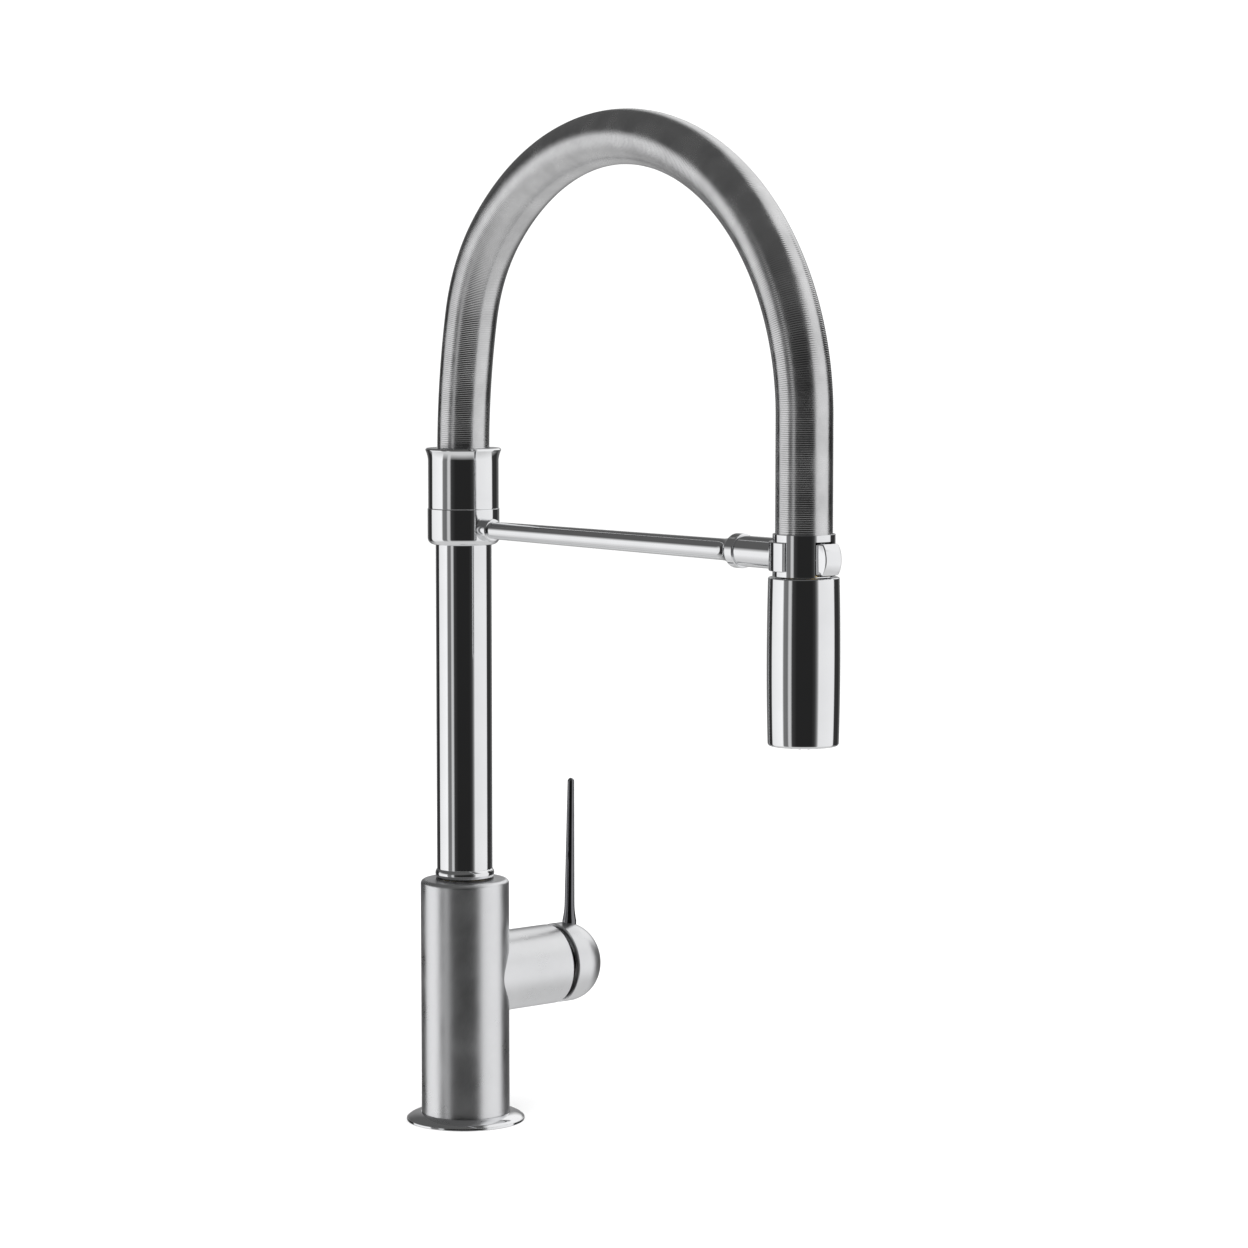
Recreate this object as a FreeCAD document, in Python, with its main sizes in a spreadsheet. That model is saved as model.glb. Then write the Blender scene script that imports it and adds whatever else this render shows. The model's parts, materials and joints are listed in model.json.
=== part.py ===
import FreeCAD, Part
import math
import os
import re

import Sketcher

# Kitchen faucet with a tall arch, an arm that docks the hand spray, and a side lever.
# Frame: origin in the middle of the deck face, +Z up, the arch reaches towards -Y, the lever is on +X.

os.makedirs("parts", exist_ok=True)
doc = FreeCAD.newDocument("Faucet")
sheet = doc.addObject("Spreadsheet::Sheet", "Sizes")

SIZES = {
    # gaps
    "running_gap": 0.05,
    "moving_gap": 0.3,
    "loose_gap": 0.6,
    "cut_room": 1,
    # deck flange and gasket
    "flange_radius": 30.7,
    "flange_edge": 1.4,
    "flange_height": 4.2,
    "flange_dome": 15,
    "flange_seat": 3.2,
    "gasket_inner": 22,
    "gasket_outer": 27,
    "gasket_thickness": 1.5,
    # lower body
    "body_radius": 22.95,
    "body_wall": 2.95,
    "body_length": 123.4,
    "body_shoulder": 3.5,
    "body_floor": 8.8,
    # mounting below the deck
    "shank_radius": 16.2,
    "shank_wall": 1.9,
    "shank_length": 60,
    "deck_thickness": 30,
    "sleeve_hole_radius": 17.3,
    "centring_length": 27,
    "clamp_radius": 25,
    "rubber_washer": 3,
    "steel_washer": 2.5,
    "nut_height": 11,
    "nut_radius": 23,
    "jack_radius": 2.5,
    "jack_circle": 19.6,
    "jack_length": 24,
    # pipes in the shank
    "pipe_radius": 3.1,
    "pipe_wall": 0.8,
    "pipe_forward": 9.3,
    "pipe_side": 6,
    "pipe_back": 10.6,
    "pipe_end": 82,
    "nipple_radius": 5,
    "nipple_length": 14,
    # waterway core in the body
    "core_below_valve": 20.5,
    "core_above_valve": 14.5,
    "swivel_room": 8,
    # spray hose
    "hose_radius": 5.5,
    "hose_bore": 3.6,
    "hose_start": 2,
    "lower_hose_gap": 9,
    # side valve
    "valve_height": 75.5,
    "barrel_radius": 20.9,
    "barrel_wall": 2.4,
    "barrel_reach": 56.5,
    "barrel_round": 1.2,
    "cartridge_radius": 17.5,
    "cartridge_start": 15.2,
    "cartridge_end": 41.5,
    "seal_thickness": 1.2,
    "seal_radius": 3.6,
    "seal_width": 1.2,
    "seal_circle": 8.5,
    "disc_radius": 13,
    "disc_start": 24,
    "disc_thickness": 3.5,
    "disc_slide": 2,
    "turret_radius": 12.4,
    "turret_flange": 14.5,
    "turret_flange_height": 3.4,
    "turret_tip": 5.5,
    "turret_room": 0.5,
    "nut_ring_height": 6,
    "stem_radius": 3.5,
    "stem_tail": 5.2,
    "stem_grip": 5,
    "stem_pin_radius": 1.5,
    "stem_pin_inset": 1.5,
    # handle cap and lever
    "cap_gap": 3.2,
    "cap_wall": 2,
    "cap_straight": 7.5,
    "cap_shoulder_length": 15,
    "cap_shoulder_radius": 17,
    "cap_face_radius": 9,
    "cap_dome_radius": 31,
    "pivot_depth": 15.5,
    "bonnet_gap": 1.3,
    "lever_from_rim": 9.9,
    "lever_lean": 0.9,
    "lever_top": 173.5,
    "lever_root_radius": 3.7,
    "lever_root_rise": 4.7,
    "lever_low_radius": 2.65,
    "lever_tip_radius": 1.75,
    "lever_flare": 9,
    "lever_flare_curve": 44,
    "grub_radius": 2,
    "grub_margin": 0.5,
    # swivel joint
    "spigot_radius": 12.95,
    "spigot_bore": 7.5,
    "spigot_rise": 18,
    "spigot_below_clip": 3,
    "ring_groove": 1.7,
    "ring_height": 2.4,
    "clip_height": 1.2,
    "clip_radius": 15.5,
    "glide_thickness": 0.7,
    "bead_proud": 0.9,
    "bead_height": 4.8,
    "bead_bulge": 1,
    # post, collar and sleeve socket
    "post_radius": 14.4,
    "post_bore": 12.8,
    "post_exposed": 168.5,
    "collar_wall": 4.1,
    "collar_height": 18.6,
    "collar_round": 3.5,
    "socket_wall": 3.75,
    "socket_height": 31,
    "socket_lip_flare": 1.35,
    "socket_lip_height": 6,
    "socket_lip_edge": 1,
    "socket_lip_slope": 0.6,
    "socket_flare": 16,
    "socket_step": 0.5,
    "socket_grip": 16,
    # arch
    "reach": 260,
    "arch_below_lip": 4.2,
    "rise_radius": 362,
    "rise_turn": 11.5,
    "crook_radius": 92,
    "crook_turn": 29.8,
    "sleeve_radius": 13.45,
    "sleeve_wall": 1.85,
    "guide_height": 10,
    "guide_inset": 1,
    # support arm and dock
    "arm_height": 8.3,
    "arm_root_radius": 5.8,
    "arm_root_length": 6.8,
    "arm_start_radius": 4.45,
    "arm_end_radius": 5.15,
    "arm_flare_length": 9,
    "arm_flare_radius": 7.4,
    "arm_flare_curve": 21,
    "arm_ring_radius": 8.2,
    "arm_ring_length": 5.8,
    "stub_radius": 7.3,
    "stub_length": 25.2,
    "cradle_wall": 1.5,
    "cradle_height": 13.6,
    "cradle_half_angle": 100,
    "magnet_radius": 5.4,
    "magnet_thickness": 3,
    "screw_radius": 2.5,
    "screw_head_radius": 4.3,
    "screw_head_height": 3.5,
    "screw_length": 22,
    "screw_seat": 4,
    # neck of the hand spray
    "neck_radius": 14.6,
    "neck_bore": 11.2,
    "neck_height": 19.8,
    "neck_below_arm": 9.5,
    "cup_depth": 3,
    "cup_wall": 0.8,
    "crimp_radius": 7.4,
    "crimp_flange": 8.2,
    "crimp_flange_height": 2.5,
    "crimp_height": 14,
    "crimp_lift": 1.5,
    "swivel_nut_radius": 9,
    "swivel_nut_height": 15,
    "strike_thickness": 0.8,
    "strike_foot": 3,
    "strike_head": 2,
    "strike_edge": 1.1,
    # selector toggle
    "toggle_width": 10,
    "toggle_height": 14.6,
    "toggle_rise": 8.6,
    "toggle_back": 10.8,
    "toggle_shoulder": 18.2,
    "toggle_face_radius": 12.5,
    "toggle_pivot": 12.2,
    "toggle_pin_radius": 1,
    "toggle_pin_half": 5.9,
    "toggle_swing_room": 0.7,
    "window_back": 5,
    # hand spray
    "wand_end_radius": 16.6,
    "wand_barrel_curve": 1480,
    "wand_length": 78.5,
    "wand_round": 1.3,
    "wand_wall": 2.2,
    "wand_mouth": 8,
    "connector_flange": 5,
    "connector_gap": 1,
    "diverter_height": 38,
    "diverter_circle": 5.4,
    "check_valve_radius": 5,
    "check_valve_height": 9,
    "face_recess": 0.6,
    "face_thickness": 4.5,
    "aerator_radius": 6.2,
    "aerator_rim": 1,
    "aerator_proud": 0.4,
    "nozzle_radius": 0.9,
    "nozzle_drop": 1.1,
    "nozzle_circle": 8.6,
    "nozzle_circle_step": 3,
}

for row, (alias, number) in enumerate(SIZES.items(), start=1):
    sheet.set(f"A{row}", alias)
    sheet.set(f"B{row}", str(number))
    sheet.setAlias(f"B{row}", alias)
doc.recompute()

FORMULA_WORDS = {"sqrt", "sin", "cos", "deg"}
UPRIGHT = FreeCAD.Rotation()
TO_SIDE = FreeCAD.Rotation(FreeCAD.Vector(0, 1, 0), 90)       # local +Z becomes +X
TO_FRONT = FreeCAD.Rotation(FreeCAD.Vector(1, 0, 0), 90)      # local +Z becomes -Y
pieces = []


def sized(formula):
    """Put the sheet's name in front of every size in a formula."""
    def owned(word):
        return word.group() if word.group() in FORMULA_WORDS else "Sizes." + word.group()
    return re.sub(r"[a-z][a-z_0-9]*", owned, str(formula))


def size(formula):
    """The number that a formula of sizes comes to."""
    return float(sheet.evalExpression(sized(formula)))


def place(item, base=(0, 0, 0), rotation=UPRIGHT):
    """Turn an object, and bind its position to formulas."""
    item.Placement = FreeCAD.Placement(FreeCAD.Vector(*[size(formula) for formula in base]), rotation)
    for axis, formula in zip("xyz", base):
        if formula != 0:
            item.setExpression(f"Placement.Base.{axis}", sized(formula))
    return item


def arc_between(start, end, radius):
    """A short arc from start to end that turns left for a positive radius and right for a negative one."""
    run = FreeCAD.Vector(end[0] - start[0], end[1] - start[1], 0)
    left = FreeCAD.Vector(-run.y, run.x, 0).normalize()
    depth = math.sqrt(max(radius ** 2 - (run.Length / 2) ** 2, 0))
    middle = FreeCAD.Vector(start[0], start[1], 0) + run * 0.5
    centre = middle + left * math.copysign(depth, radius)
    angles = [math.atan2(y - centre.y, x - centre.x) for x, y in (start, end)]
    if radius < 0:
        angles.reverse()
    return Part.ArcOfCircle(Part.Circle(centre, FreeCAD.Vector(0, 0, 1), abs(radius)), *angles)


def attach(body, plane, lift=0):
    """A new sketch on one of the body's own planes, lifted along its normal."""
    planes = {feature.Role: feature for feature in body.Origin.OriginFeatures}
    sketch = body.newObject("Sketcher::SketchObject", body.Name + "_sketch")
    sketch.AttachmentSupport = [(planes[plane], "")]
    sketch.MapMode = "FlatFace"
    if lift != 0:
        sketch.setExpression("AttachmentOffset.Base.z", sized(lift))
    return sketch


def draw(sketch, corners, closed=True):
    """Draw an outline. A corner is (x, y), or (x, y, radius) when an arc leads to the next corner."""
    points = [(size(corner[0]), size(corner[1])) for corner in corners]
    count = len(corners) if closed else len(corners) - 1
    tips = []
    for index in range(count):
        start, end = points[index], points[(index + 1) % len(points)]
        if len(corners[index]) == 2:
            sketch.addGeometry(Part.LineSegment(FreeCAD.Vector(*start, 0), FreeCAD.Vector(*end, 0)))
            tips.append((1, 2))
            continue
        formula = str(corners[index][2])
        radius = size(formula)
        sketch.addGeometry(arc_between(start, end, radius))
        tips.append((1, 2) if radius > 0 else (2, 1))
        rule = sketch.addConstraint(Sketcher.Constraint("Radius", index, abs(radius)))
        sketch.setExpression(f"Constraints[{rule}]", sized(formula.lstrip("-")))
    for index in range(count if closed else count - 1):
        after = (index + 1) % count
        sketch.addConstraint(Sketcher.Constraint("Coincident", index, tips[index][1], after, tips[after][0]))
    for index, corner in enumerate(corners):
        edge, tip = (index, tips[index][0]) if index < count else (count - 1, tips[-1][1])
        for kind, axis, formula in (("DistanceX", -2, corner[0]), ("DistanceY", -1, corner[1])):
            if formula == 0:
                sketch.addConstraint(Sketcher.Constraint("PointOnObject", edge, tip, axis))
                continue
            rule = sketch.addConstraint(Sketcher.Constraint(kind, -1, 1, edge, tip, size(formula)))
            sketch.setExpression(f"Constraints[{rule}]", sized(formula))
    return sketch


def piece(item, label):
    """Name an object as one of the faucet's pieces."""
    item.Label = label
    pieces.append(item)
    return item


def turned(name, corners, base=(0, 0, 0), rotation=UPRIGHT):
    """A body turned about its own Z axis from an outline of (radius, height) corners."""
    body = doc.addObject("PartDesign::Body", name)
    outline = draw(attach(body, "XZ_Plane"), corners)
    turn = body.newObject("PartDesign::Revolution", name + "_turn")
    turn.Profile = outline
    turn.ReferenceAxis = (outline, ["V_Axis"])
    turn.Angle = 360
    return place(body, base, rotation)


def ring(name, inner, outer, floor, top, base=(0, 0, 0), rotation=UPRIGHT):
    """A plain ring, or a disc when inner is 0."""
    corners = [(inner, floor), (outer, floor), (outer, top), (inner, top)]
    return turned(name, corners, base, rotation)


def rod(name, radius, length, base=(0, 0, 0), rotation=UPRIGHT):
    """A plain cylinder."""
    cylinder = doc.addObject("Part::Cylinder", name)
    cylinder.setExpression("Radius", sized(radius))
    cylinder.setExpression("Height", sized(length))
    return place(cylinder, base, rotation)


def block(name, lengths, base, rotation=UPRIGHT):
    """A plain box from its lowest corner."""
    box = doc.addObject("Part::Box", name)
    for side, formula in zip(("Length", "Width", "Height"), lengths):
        box.setExpression(side, sized(formula))
    return place(box, base, rotation)


def cut(name, base, *tools):
    """One object with the tools taken out of it."""
    tool = tools[0]
    if len(tools) > 1:
        tool = doc.addObject("Part::MultiFuse", name + "_tools")
        tool.Shapes = list(tools)
    result = doc.addObject("Part::Cut", name)
    result.Base = base
    result.Tool = tool
    return result


def joined(name, *shapes):
    """Several shapes made into one object."""
    result = doc.addObject("Part::MultiFuse", name)
    result.Shapes = list(shapes)
    return result


def around(count, radius):
    """Formulas for the x and y of evenly spaced places on a circle."""
    for step in range(count):
        angle = 360 * step / count
        yield f"({radius}) * cos({angle} * 1deg)", f"({radius}) * sin({angle} * 1deg)"


# heights on the post's axis
BODY_TOP = "(flange_seat + body_length)"
CAVITY_FLOOR = "(flange_seat + body_floor)"
CORE_FLOOR = "(valve_height - core_below_valve)"
CORE_TOP = "(valve_height + core_above_valve)"
CAVITY_TOP = f"({CORE_TOP} + swivel_room)"
CAVITY_RADIUS = "(body_radius - body_wall)"
BEAD_FLOOR = f"({BODY_TOP} + glide_thickness + moving_gap)"
POST_FLOOR = f"({BEAD_FLOOR} + bead_height)"
COLLAR_FLOOR = f"({POST_FLOOR} + post_exposed)"
SOCKET_FLOOR = f"({COLLAR_FLOOR} + collar_height)"
SOCKET_TOP = f"({SOCKET_FLOOR} + socket_height)"
SLEEVE_FOOT = f"({SOCKET_TOP} - socket_grip)"
ARM_LEVEL = f"({COLLAR_FLOOR} + arm_height)"
SWIVEL_BORE = "(spigot_radius + running_gap)"

# radii that follow the post
BEAD_RADIUS = "(post_radius + bead_proud)"
COLLAR_RADIUS = "(post_radius + collar_wall)"
SOCKET_RADIUS = "(post_radius + socket_wall)"
SOCKET_LIP = f"({SOCKET_RADIUS} + socket_lip_flare)"

# places along the valve's axis
CARTRIDGE_BORE = "(barrel_radius - barrel_wall)"
CAP_RIM = "(barrel_reach + cap_gap)"
PIVOT = f"({CAP_RIM} - pivot_depth)"
CAP_BALL = "sqrt(pivot_depth^2 + (barrel_radius - cap_wall)^2)"
BONNET_BALL = f"({CAP_BALL} - bonnet_gap)"
BONNET_BORE = "(turret_radius + turret_room)"
CAP_FACE = f"({CAP_RIM} + cap_straight + cap_shoulder_length)"
CAP_END = f"({CAP_FACE} + cap_dome_radius - sqrt(cap_dome_radius^2 - cap_face_radius^2))"
VALVE_BASE = (0, 0, "valve_height")

# levels of the hand spray, hung below the arm
NECK_FLOOR = f"({ARM_LEVEL} - neck_below_arm)"
NECK_TOP = f"({NECK_FLOOR} + neck_height)"
SLEEVE_END = f"({NECK_TOP} - cup_depth + moving_gap)"
TOGGLE_LEVEL = f"({NECK_FLOOR} + toggle_rise)"
WAND_TOP = f"({NECK_FLOOR} - moving_gap)"
WAND_FLOOR = f"({WAND_TOP} - wand_length)"
WAND_BORE = "(wand_end_radius - wand_wall)"
WAND_BASE = (0, "-reach", 0)


def deck_parts():
    """Flange, gasket and what clamps the faucet through the deck."""
    flange = turned("flange", [
        ("sleeve_hole_radius + moving_gap", 0),
        ("gasket_inner", 0),
        ("gasket_inner", "gasket_thickness"),
        ("gasket_outer", "gasket_thickness"),
        ("gasket_outer", 0),
        ("flange_radius", 0),
        ("flange_radius", "flange_edge", "flange_dome"),
        ("body_radius + moving_gap", "flange_height"),
        ("body_radius + moving_gap", "flange_seat"),
        ("sleeve_hole_radius + moving_gap", "flange_seat"),
    ])
    piece(flange, "base_flange")
    piece(ring("gasket", "gasket_inner", "gasket_outer", 0, "gasket_thickness"), "deck_gasket")
    shank_bore = "shank_radius - shank_wall"
    piece(ring("shank", shank_bore, "shank_radius", "-shank_length", CAVITY_FLOOR), "mounting_shank")
    piece(ring("centring", "shank_radius", "sleeve_hole_radius", "-centring_length", 0), "centring_sleeve")
    rubber_floor = "(-deck_thickness - rubber_washer)"
    steel_floor = f"({rubber_floor} - steel_washer)"
    nut_floor = f"({steel_floor} - nut_height)"
    rubber = ring("rubber", "shank_radius", "clamp_radius", rubber_floor, "-deck_thickness")
    piece(rubber, "rubber_washer")
    piece(ring("steel", "shank_radius", "clamp_radius", steel_floor, rubber_floor), "steel_washer")
    blank = ring("nut_blank", "shank_radius", "nut_radius", nut_floor, steel_floor)
    places = list(around(3, "jack_circle"))
    holes = [rod(f"jack_hole_{number}", "jack_radius", "nut_height", (x, y, nut_floor))
             for number, (x, y) in enumerate(places)]
    piece(cut("nut", blank, *holes), "mounting_nut")
    jack_base = f"({steel_floor} - jack_length)"
    jacks = [rod(f"jack_{number}", "jack_radius", "jack_length", (x, y, jack_base))
             for number, (x, y) in enumerate(places)]
    piece(joined("jacks", *jacks), "jack_screws")


def lower_body():
    """The upright body, the core inside it and the pipes that hang from the core."""
    blank = turned("body_blank", [
        ("shank_radius", "flange_seat"),
        ("body_radius", "flange_seat"),
        ("body_radius", f"{BODY_TOP} - body_shoulder", "body_shoulder"),
        ("body_radius - body_shoulder", BODY_TOP),
        (SWIVEL_BORE, BODY_TOP),
        (SWIVEL_BORE, CAVITY_TOP),
        (CAVITY_RADIUS, CAVITY_TOP),
        (CAVITY_RADIUS, CAVITY_FLOOR),
        ("shank_radius", CAVITY_FLOOR),
    ])
    port = rod("body_port", "cartridge_radius + moving_gap", "body_radius", VALVE_BASE, TO_SIDE)
    piece(cut("body", blank, port), "lower_body")

    core = ring("core_blank", "hose_radius + loose_gap", f"{CAVITY_RADIUS} - moving_gap", CORE_FLOOR, CORE_TOP)
    pocket_base = ("cartridge_start - seal_thickness", 0, "valve_height")
    pocket = rod("core_pocket", "cartridge_radius", "body_radius", pocket_base, TO_SIDE)
    piece(cut("core", core, pocket), "waterway_core")

    pipes = {
        "cold_inlet": ("pipe_forward", "-pipe_side"),
        "hot_inlet": ("pipe_forward", "pipe_side"),
        "mixed_outlet": ("-pipe_back", 0),
    }
    for label, (x, y) in pipes.items():
        bore = "pipe_radius - pipe_wall"
        pipe = turned(label, [
            (bore, "-pipe_end"),
            ("nipple_radius", "-pipe_end"),
            ("nipple_radius", "nipple_length - pipe_end"),
            ("pipe_radius", "nipple_length - pipe_end"),
            ("pipe_radius", CORE_FLOOR),
            (bore, CORE_FLOOR),
        ], (x, y, 0))
        piece(pipe, label)
    hose = ring("low_hose", "hose_bore", "hose_radius", "-shank_length", f"{CAVITY_TOP} - lower_hose_gap")
    piece(hose, "lower_spray_hose")
    glide_inner = f"{SWIVEL_BORE} + moving_gap"
    glide = ring("glide", glide_inner, f"{BEAD_RADIUS} - moving_gap", BODY_TOP, f"{BODY_TOP} + glide_thickness")
    piece(glide, "glide_washer")


def side_valve():
    """Barrel, ceramic cartridge and bonnet, turned about the valve's axis."""
    barrel = turned("barrel_blank", [
        (CARTRIDGE_BORE, "body_radius / 2"),
        ("barrel_radius", "body_radius / 2"),
        ("barrel_radius", "barrel_reach - barrel_round", "barrel_round"),
        ("barrel_radius - barrel_round", "barrel_reach"),
        (CARTRIDGE_BORE, "barrel_reach"),
    ], VALVE_BASE, TO_SIDE)
    upright = rod("barrel_saddle", "body_radius", BODY_TOP)
    piece(cut("barrel", barrel, upright), "valve_barrel")

    pocket_floor = "(cartridge_end - turret_flange_height - 2 * running_gap)"
    cartridge = turned("cartridge", [
        (0, "cartridge_start"),
        ("cartridge_radius", "cartridge_start"),
        ("cartridge_radius", "cartridge_end"),
        ("turret_flange + running_gap", "cartridge_end"),
        ("turret_flange + running_gap", pocket_floor),
        ("disc_radius", pocket_floor),
        ("disc_radius", "disc_start"),
        (0, "disc_start"),
    ], VALVE_BASE, TO_SIDE)
    piece(cartridge, "cartridge_body")
    seals = []
    for number, (x, y) in enumerate(around(3, "seal_circle")):
        seal_base = ("cartridge_start - seal_thickness", y, f"valve_height + {x}")
        outer = rod(f"seal_{number}", "seal_radius", "seal_thickness", seal_base, TO_SIDE)
        inner = rod(f"seal_hole_{number}", "seal_radius - seal_width", "seal_thickness", seal_base, TO_SIDE)
        seals.append(cut(f"seal_ring_{number}", outer, inner))
    piece(joined("seals", *seals), "cartridge_seals")

    fixed_top = "(disc_start + disc_thickness)"
    fixed = ring("fixed_disc", 0, "disc_radius", "disc_start", fixed_top, VALVE_BASE, TO_SIDE)
    piece(fixed, "ceramic_fixed_disc")
    moving_floor = f"({fixed_top} + running_gap)"
    moving_top = f"({moving_floor} + disc_thickness)"
    disc_gap = "disc_radius - disc_slide"
    moving = ring("moving_disc", 0, disc_gap, moving_floor, moving_top, VALVE_BASE, TO_SIDE)
    piece(moving, "ceramic_moving_disc")

    flange_floor = f"({pocket_floor} + running_gap)"
    turret_end = f"({PIVOT} + turret_tip)"
    turret = turned("turret_blank", [
        (0, moving_top),
        (disc_gap, moving_top),
        (disc_gap, flange_floor),
        ("turret_flange", flange_floor),
        ("turret_flange", "cartridge_end - running_gap"),
        ("turret_radius", "cartridge_end - running_gap"),
        ("turret_radius", turret_end),
        (0, turret_end),
    ], VALVE_BASE, TO_SIDE)
    slot_half = "(stem_radius + turret_tip * 0.5)"
    slot_floor = f"({PIVOT} - sqrt(stem_tail^2 + stem_radius^2) - moving_gap)"
    slot = block("turret_slot",
                 (f"{turret_end} - {slot_floor} + cut_room", "2 * stem_radius + 2 * running_gap", f"2 * {slot_half}"),
                 (slot_floor, "-stem_radius - running_gap", f"valve_height - {slot_half}"))
    pin_half = "(turret_radius - stem_pin_inset)"
    pin_base = (PIVOT, pin_half, "valve_height")
    pin_length = f"2 * {pin_half}"
    pin_hole = rod("turret_pin_hole", "stem_pin_radius", pin_length, pin_base, TO_FRONT)
    piece(cut("turret", turret, slot, pin_hole), "cartridge_turret")
    piece(rod("stem_pin", "stem_pin_radius", pin_length, pin_base, TO_FRONT), "stem_pin")

    nut = ring("ring_nut", BONNET_BORE, CARTRIDGE_BORE, "cartridge_end", "cartridge_end + nut_ring_height",
               VALVE_BASE, TO_SIDE)
    piece(nut, "cartridge_nut")
    lip_radius = f"sqrt({BONNET_BALL}^2 - (barrel_reach + moving_gap - {PIVOT})^2)"
    bonnet = turned("bonnet", [
        (BONNET_BORE, "cartridge_end + nut_ring_height"),
        (CARTRIDGE_BORE, "cartridge_end + nut_ring_height"),
        (CARTRIDGE_BORE, "barrel_reach"),
        (lip_radius, "barrel_reach"),
        (lip_radius, "barrel_reach + moving_gap", BONNET_BALL),
        (BONNET_BORE, f"{PIVOT} + sqrt({BONNET_BALL}^2 - {BONNET_BORE}^2)"),
    ], VALVE_BASE, TO_SIDE)
    piece(bonnet, "bonnet")


def handle():
    """Cap, lever, stem and set screw, which tilt together about the stem's pin."""
    stem_tip = f"({PIVOT} + {CAP_BALL} + stem_grip)"
    stem = rod("stem_blank", "stem_radius", f"{stem_tip} - {PIVOT} + stem_tail",
               (f"{PIVOT} - stem_tail", 0, "valve_height"), TO_SIDE)
    eye = rod("stem_eye", "stem_pin_radius + running_gap", "2 * body_radius",
              (PIVOT, "body_radius", "valve_height"), TO_FRONT)
    piece(cut("stem", stem, eye), "cartridge_stem")

    outside = [
        ("barrel_radius", CAP_RIM),
        ("barrel_radius", f"{CAP_RIM} + cap_straight", "cap_shoulder_radius"),
        ("cap_face_radius", CAP_FACE, "cap_dome_radius"),
        (0, CAP_END),
    ]
    cap = turned("cap_blank", [
        ("barrel_radius - cap_wall", CAP_RIM),
        *outside,
        (0, stem_tip),
        ("stem_radius", stem_tip),
        ("stem_radius", f"{PIVOT} + sqrt({CAP_BALL}^2 - stem_radius^2)", f"-{CAP_BALL}"),
    ], VALVE_BASE, TO_SIDE)
    grub_x = f"({PIVOT} + {CAP_BALL} + grub_radius + grub_margin)"
    grub_length = "(cap_face_radius - stem_radius)"
    grub_foot = (grub_x, 0, f"valve_height - stem_radius - {grub_length}")
    way = rod("grub_way", "grub_radius", "barrel_radius - stem_radius",
              (grub_x, 0, "valve_height - barrel_radius"))
    piece(cut("cap", cap, way), "handle_cap")
    grub = rod("grub_blank", "grub_radius", grub_length, grub_foot)
    key = rod("grub_key", "grub_radius / 2", "grub_radius", grub_foot)
    piece(cut("grub", grub, key), "handle_set_screw")

    lever_root = "(valve_height + barrel_radius - lever_root_radius)"
    lever_length = f"(lever_top - {lever_root})"
    lever = turned("lever_blank", [
        (0, 0),
        ("lever_root_radius", 0),
        ("lever_root_radius", "lever_root_rise", "-lever_flare_curve"),
        ("lever_low_radius", "lever_root_rise + lever_flare"),
        ("lever_tip_radius", f"{lever_length} - lever_tip_radius", "lever_tip_radius"),
        (0, lever_length),
    ])
    place(lever, (f"{CAP_RIM} + lever_from_rim", 0, lever_root), FreeCAD.Rotation(FreeCAD.Vector(0, 1, 0), 0))
    lever.setExpression("Placement.Rotation.Angle", sized("lever_lean * 1deg"))
    lever.Placement.Rotation.Axis = FreeCAD.Vector(0, 1, 0)
    seat = turned("lever_seat", [(0, CAP_RIM), *outside], VALVE_BASE, TO_SIDE)
    piece(cut("lever_rod", lever, seat), "lever")


def swivel():
    """The turning joint between the lower body and the post."""
    spigot_foot = f"({CAVITY_TOP} - clip_height - loose_gap - spigot_below_clip)"
    clip_floor = f"({CAVITY_TOP} - loose_gap - clip_height)"
    ring_floors = [f"(({3 - number} * {BODY_TOP} + {number} * {CAVITY_TOP}) / 3)" for number in (2, 1)]
    groove_radius = "(spigot_radius - ring_groove)"
    corners = [
        ("spigot_bore", spigot_foot),
        ("spigot_radius", spigot_foot),
        ("spigot_radius", clip_floor),
        (groove_radius, clip_floor),
        (groove_radius, f"{clip_floor} + clip_height"),
        ("spigot_radius", f"{clip_floor} + clip_height"),
    ]
    for floor in ring_floors:
        corners += [
            ("spigot_radius", floor),
            (groove_radius, floor),
            (groove_radius, f"{floor} + ring_height"),
            ("spigot_radius", f"{floor} + ring_height"),
        ]
    corners += [
        ("spigot_radius", POST_FLOOR),
        ("post_bore", POST_FLOOR),
        ("post_bore", f"{POST_FLOOR} + spigot_rise"),
        ("spigot_bore", f"{POST_FLOOR} + spigot_rise"),
    ]
    piece(turned("spigot", corners), "swivel_spigot")
    piece(ring("clip", groove_radius, "clip_radius", clip_floor, f"{clip_floor} + clip_height"), "swivel_clip")
    seals = [ring(f"swivel_ring_{number}", groove_radius, "spigot_radius + running_gap / 2", floor,
                  f"{floor} + ring_height") for number, floor in enumerate(ring_floors)]
    piece(joined("swivel_rings", *seals), "swivel_o_rings")
    bead = turned("bead", [
        ("spigot_radius", BEAD_FLOOR),
        (f"{BEAD_RADIUS} - bead_bulge", BEAD_FLOOR, "(bead_height^2 / 4 + bead_bulge^2) / (2 * bead_bulge)"),
        (f"{BEAD_RADIUS} - bead_bulge", POST_FLOOR),
        ("spigot_radius", POST_FLOOR),
    ])
    piece(bead, "swivel_bead")


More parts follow.
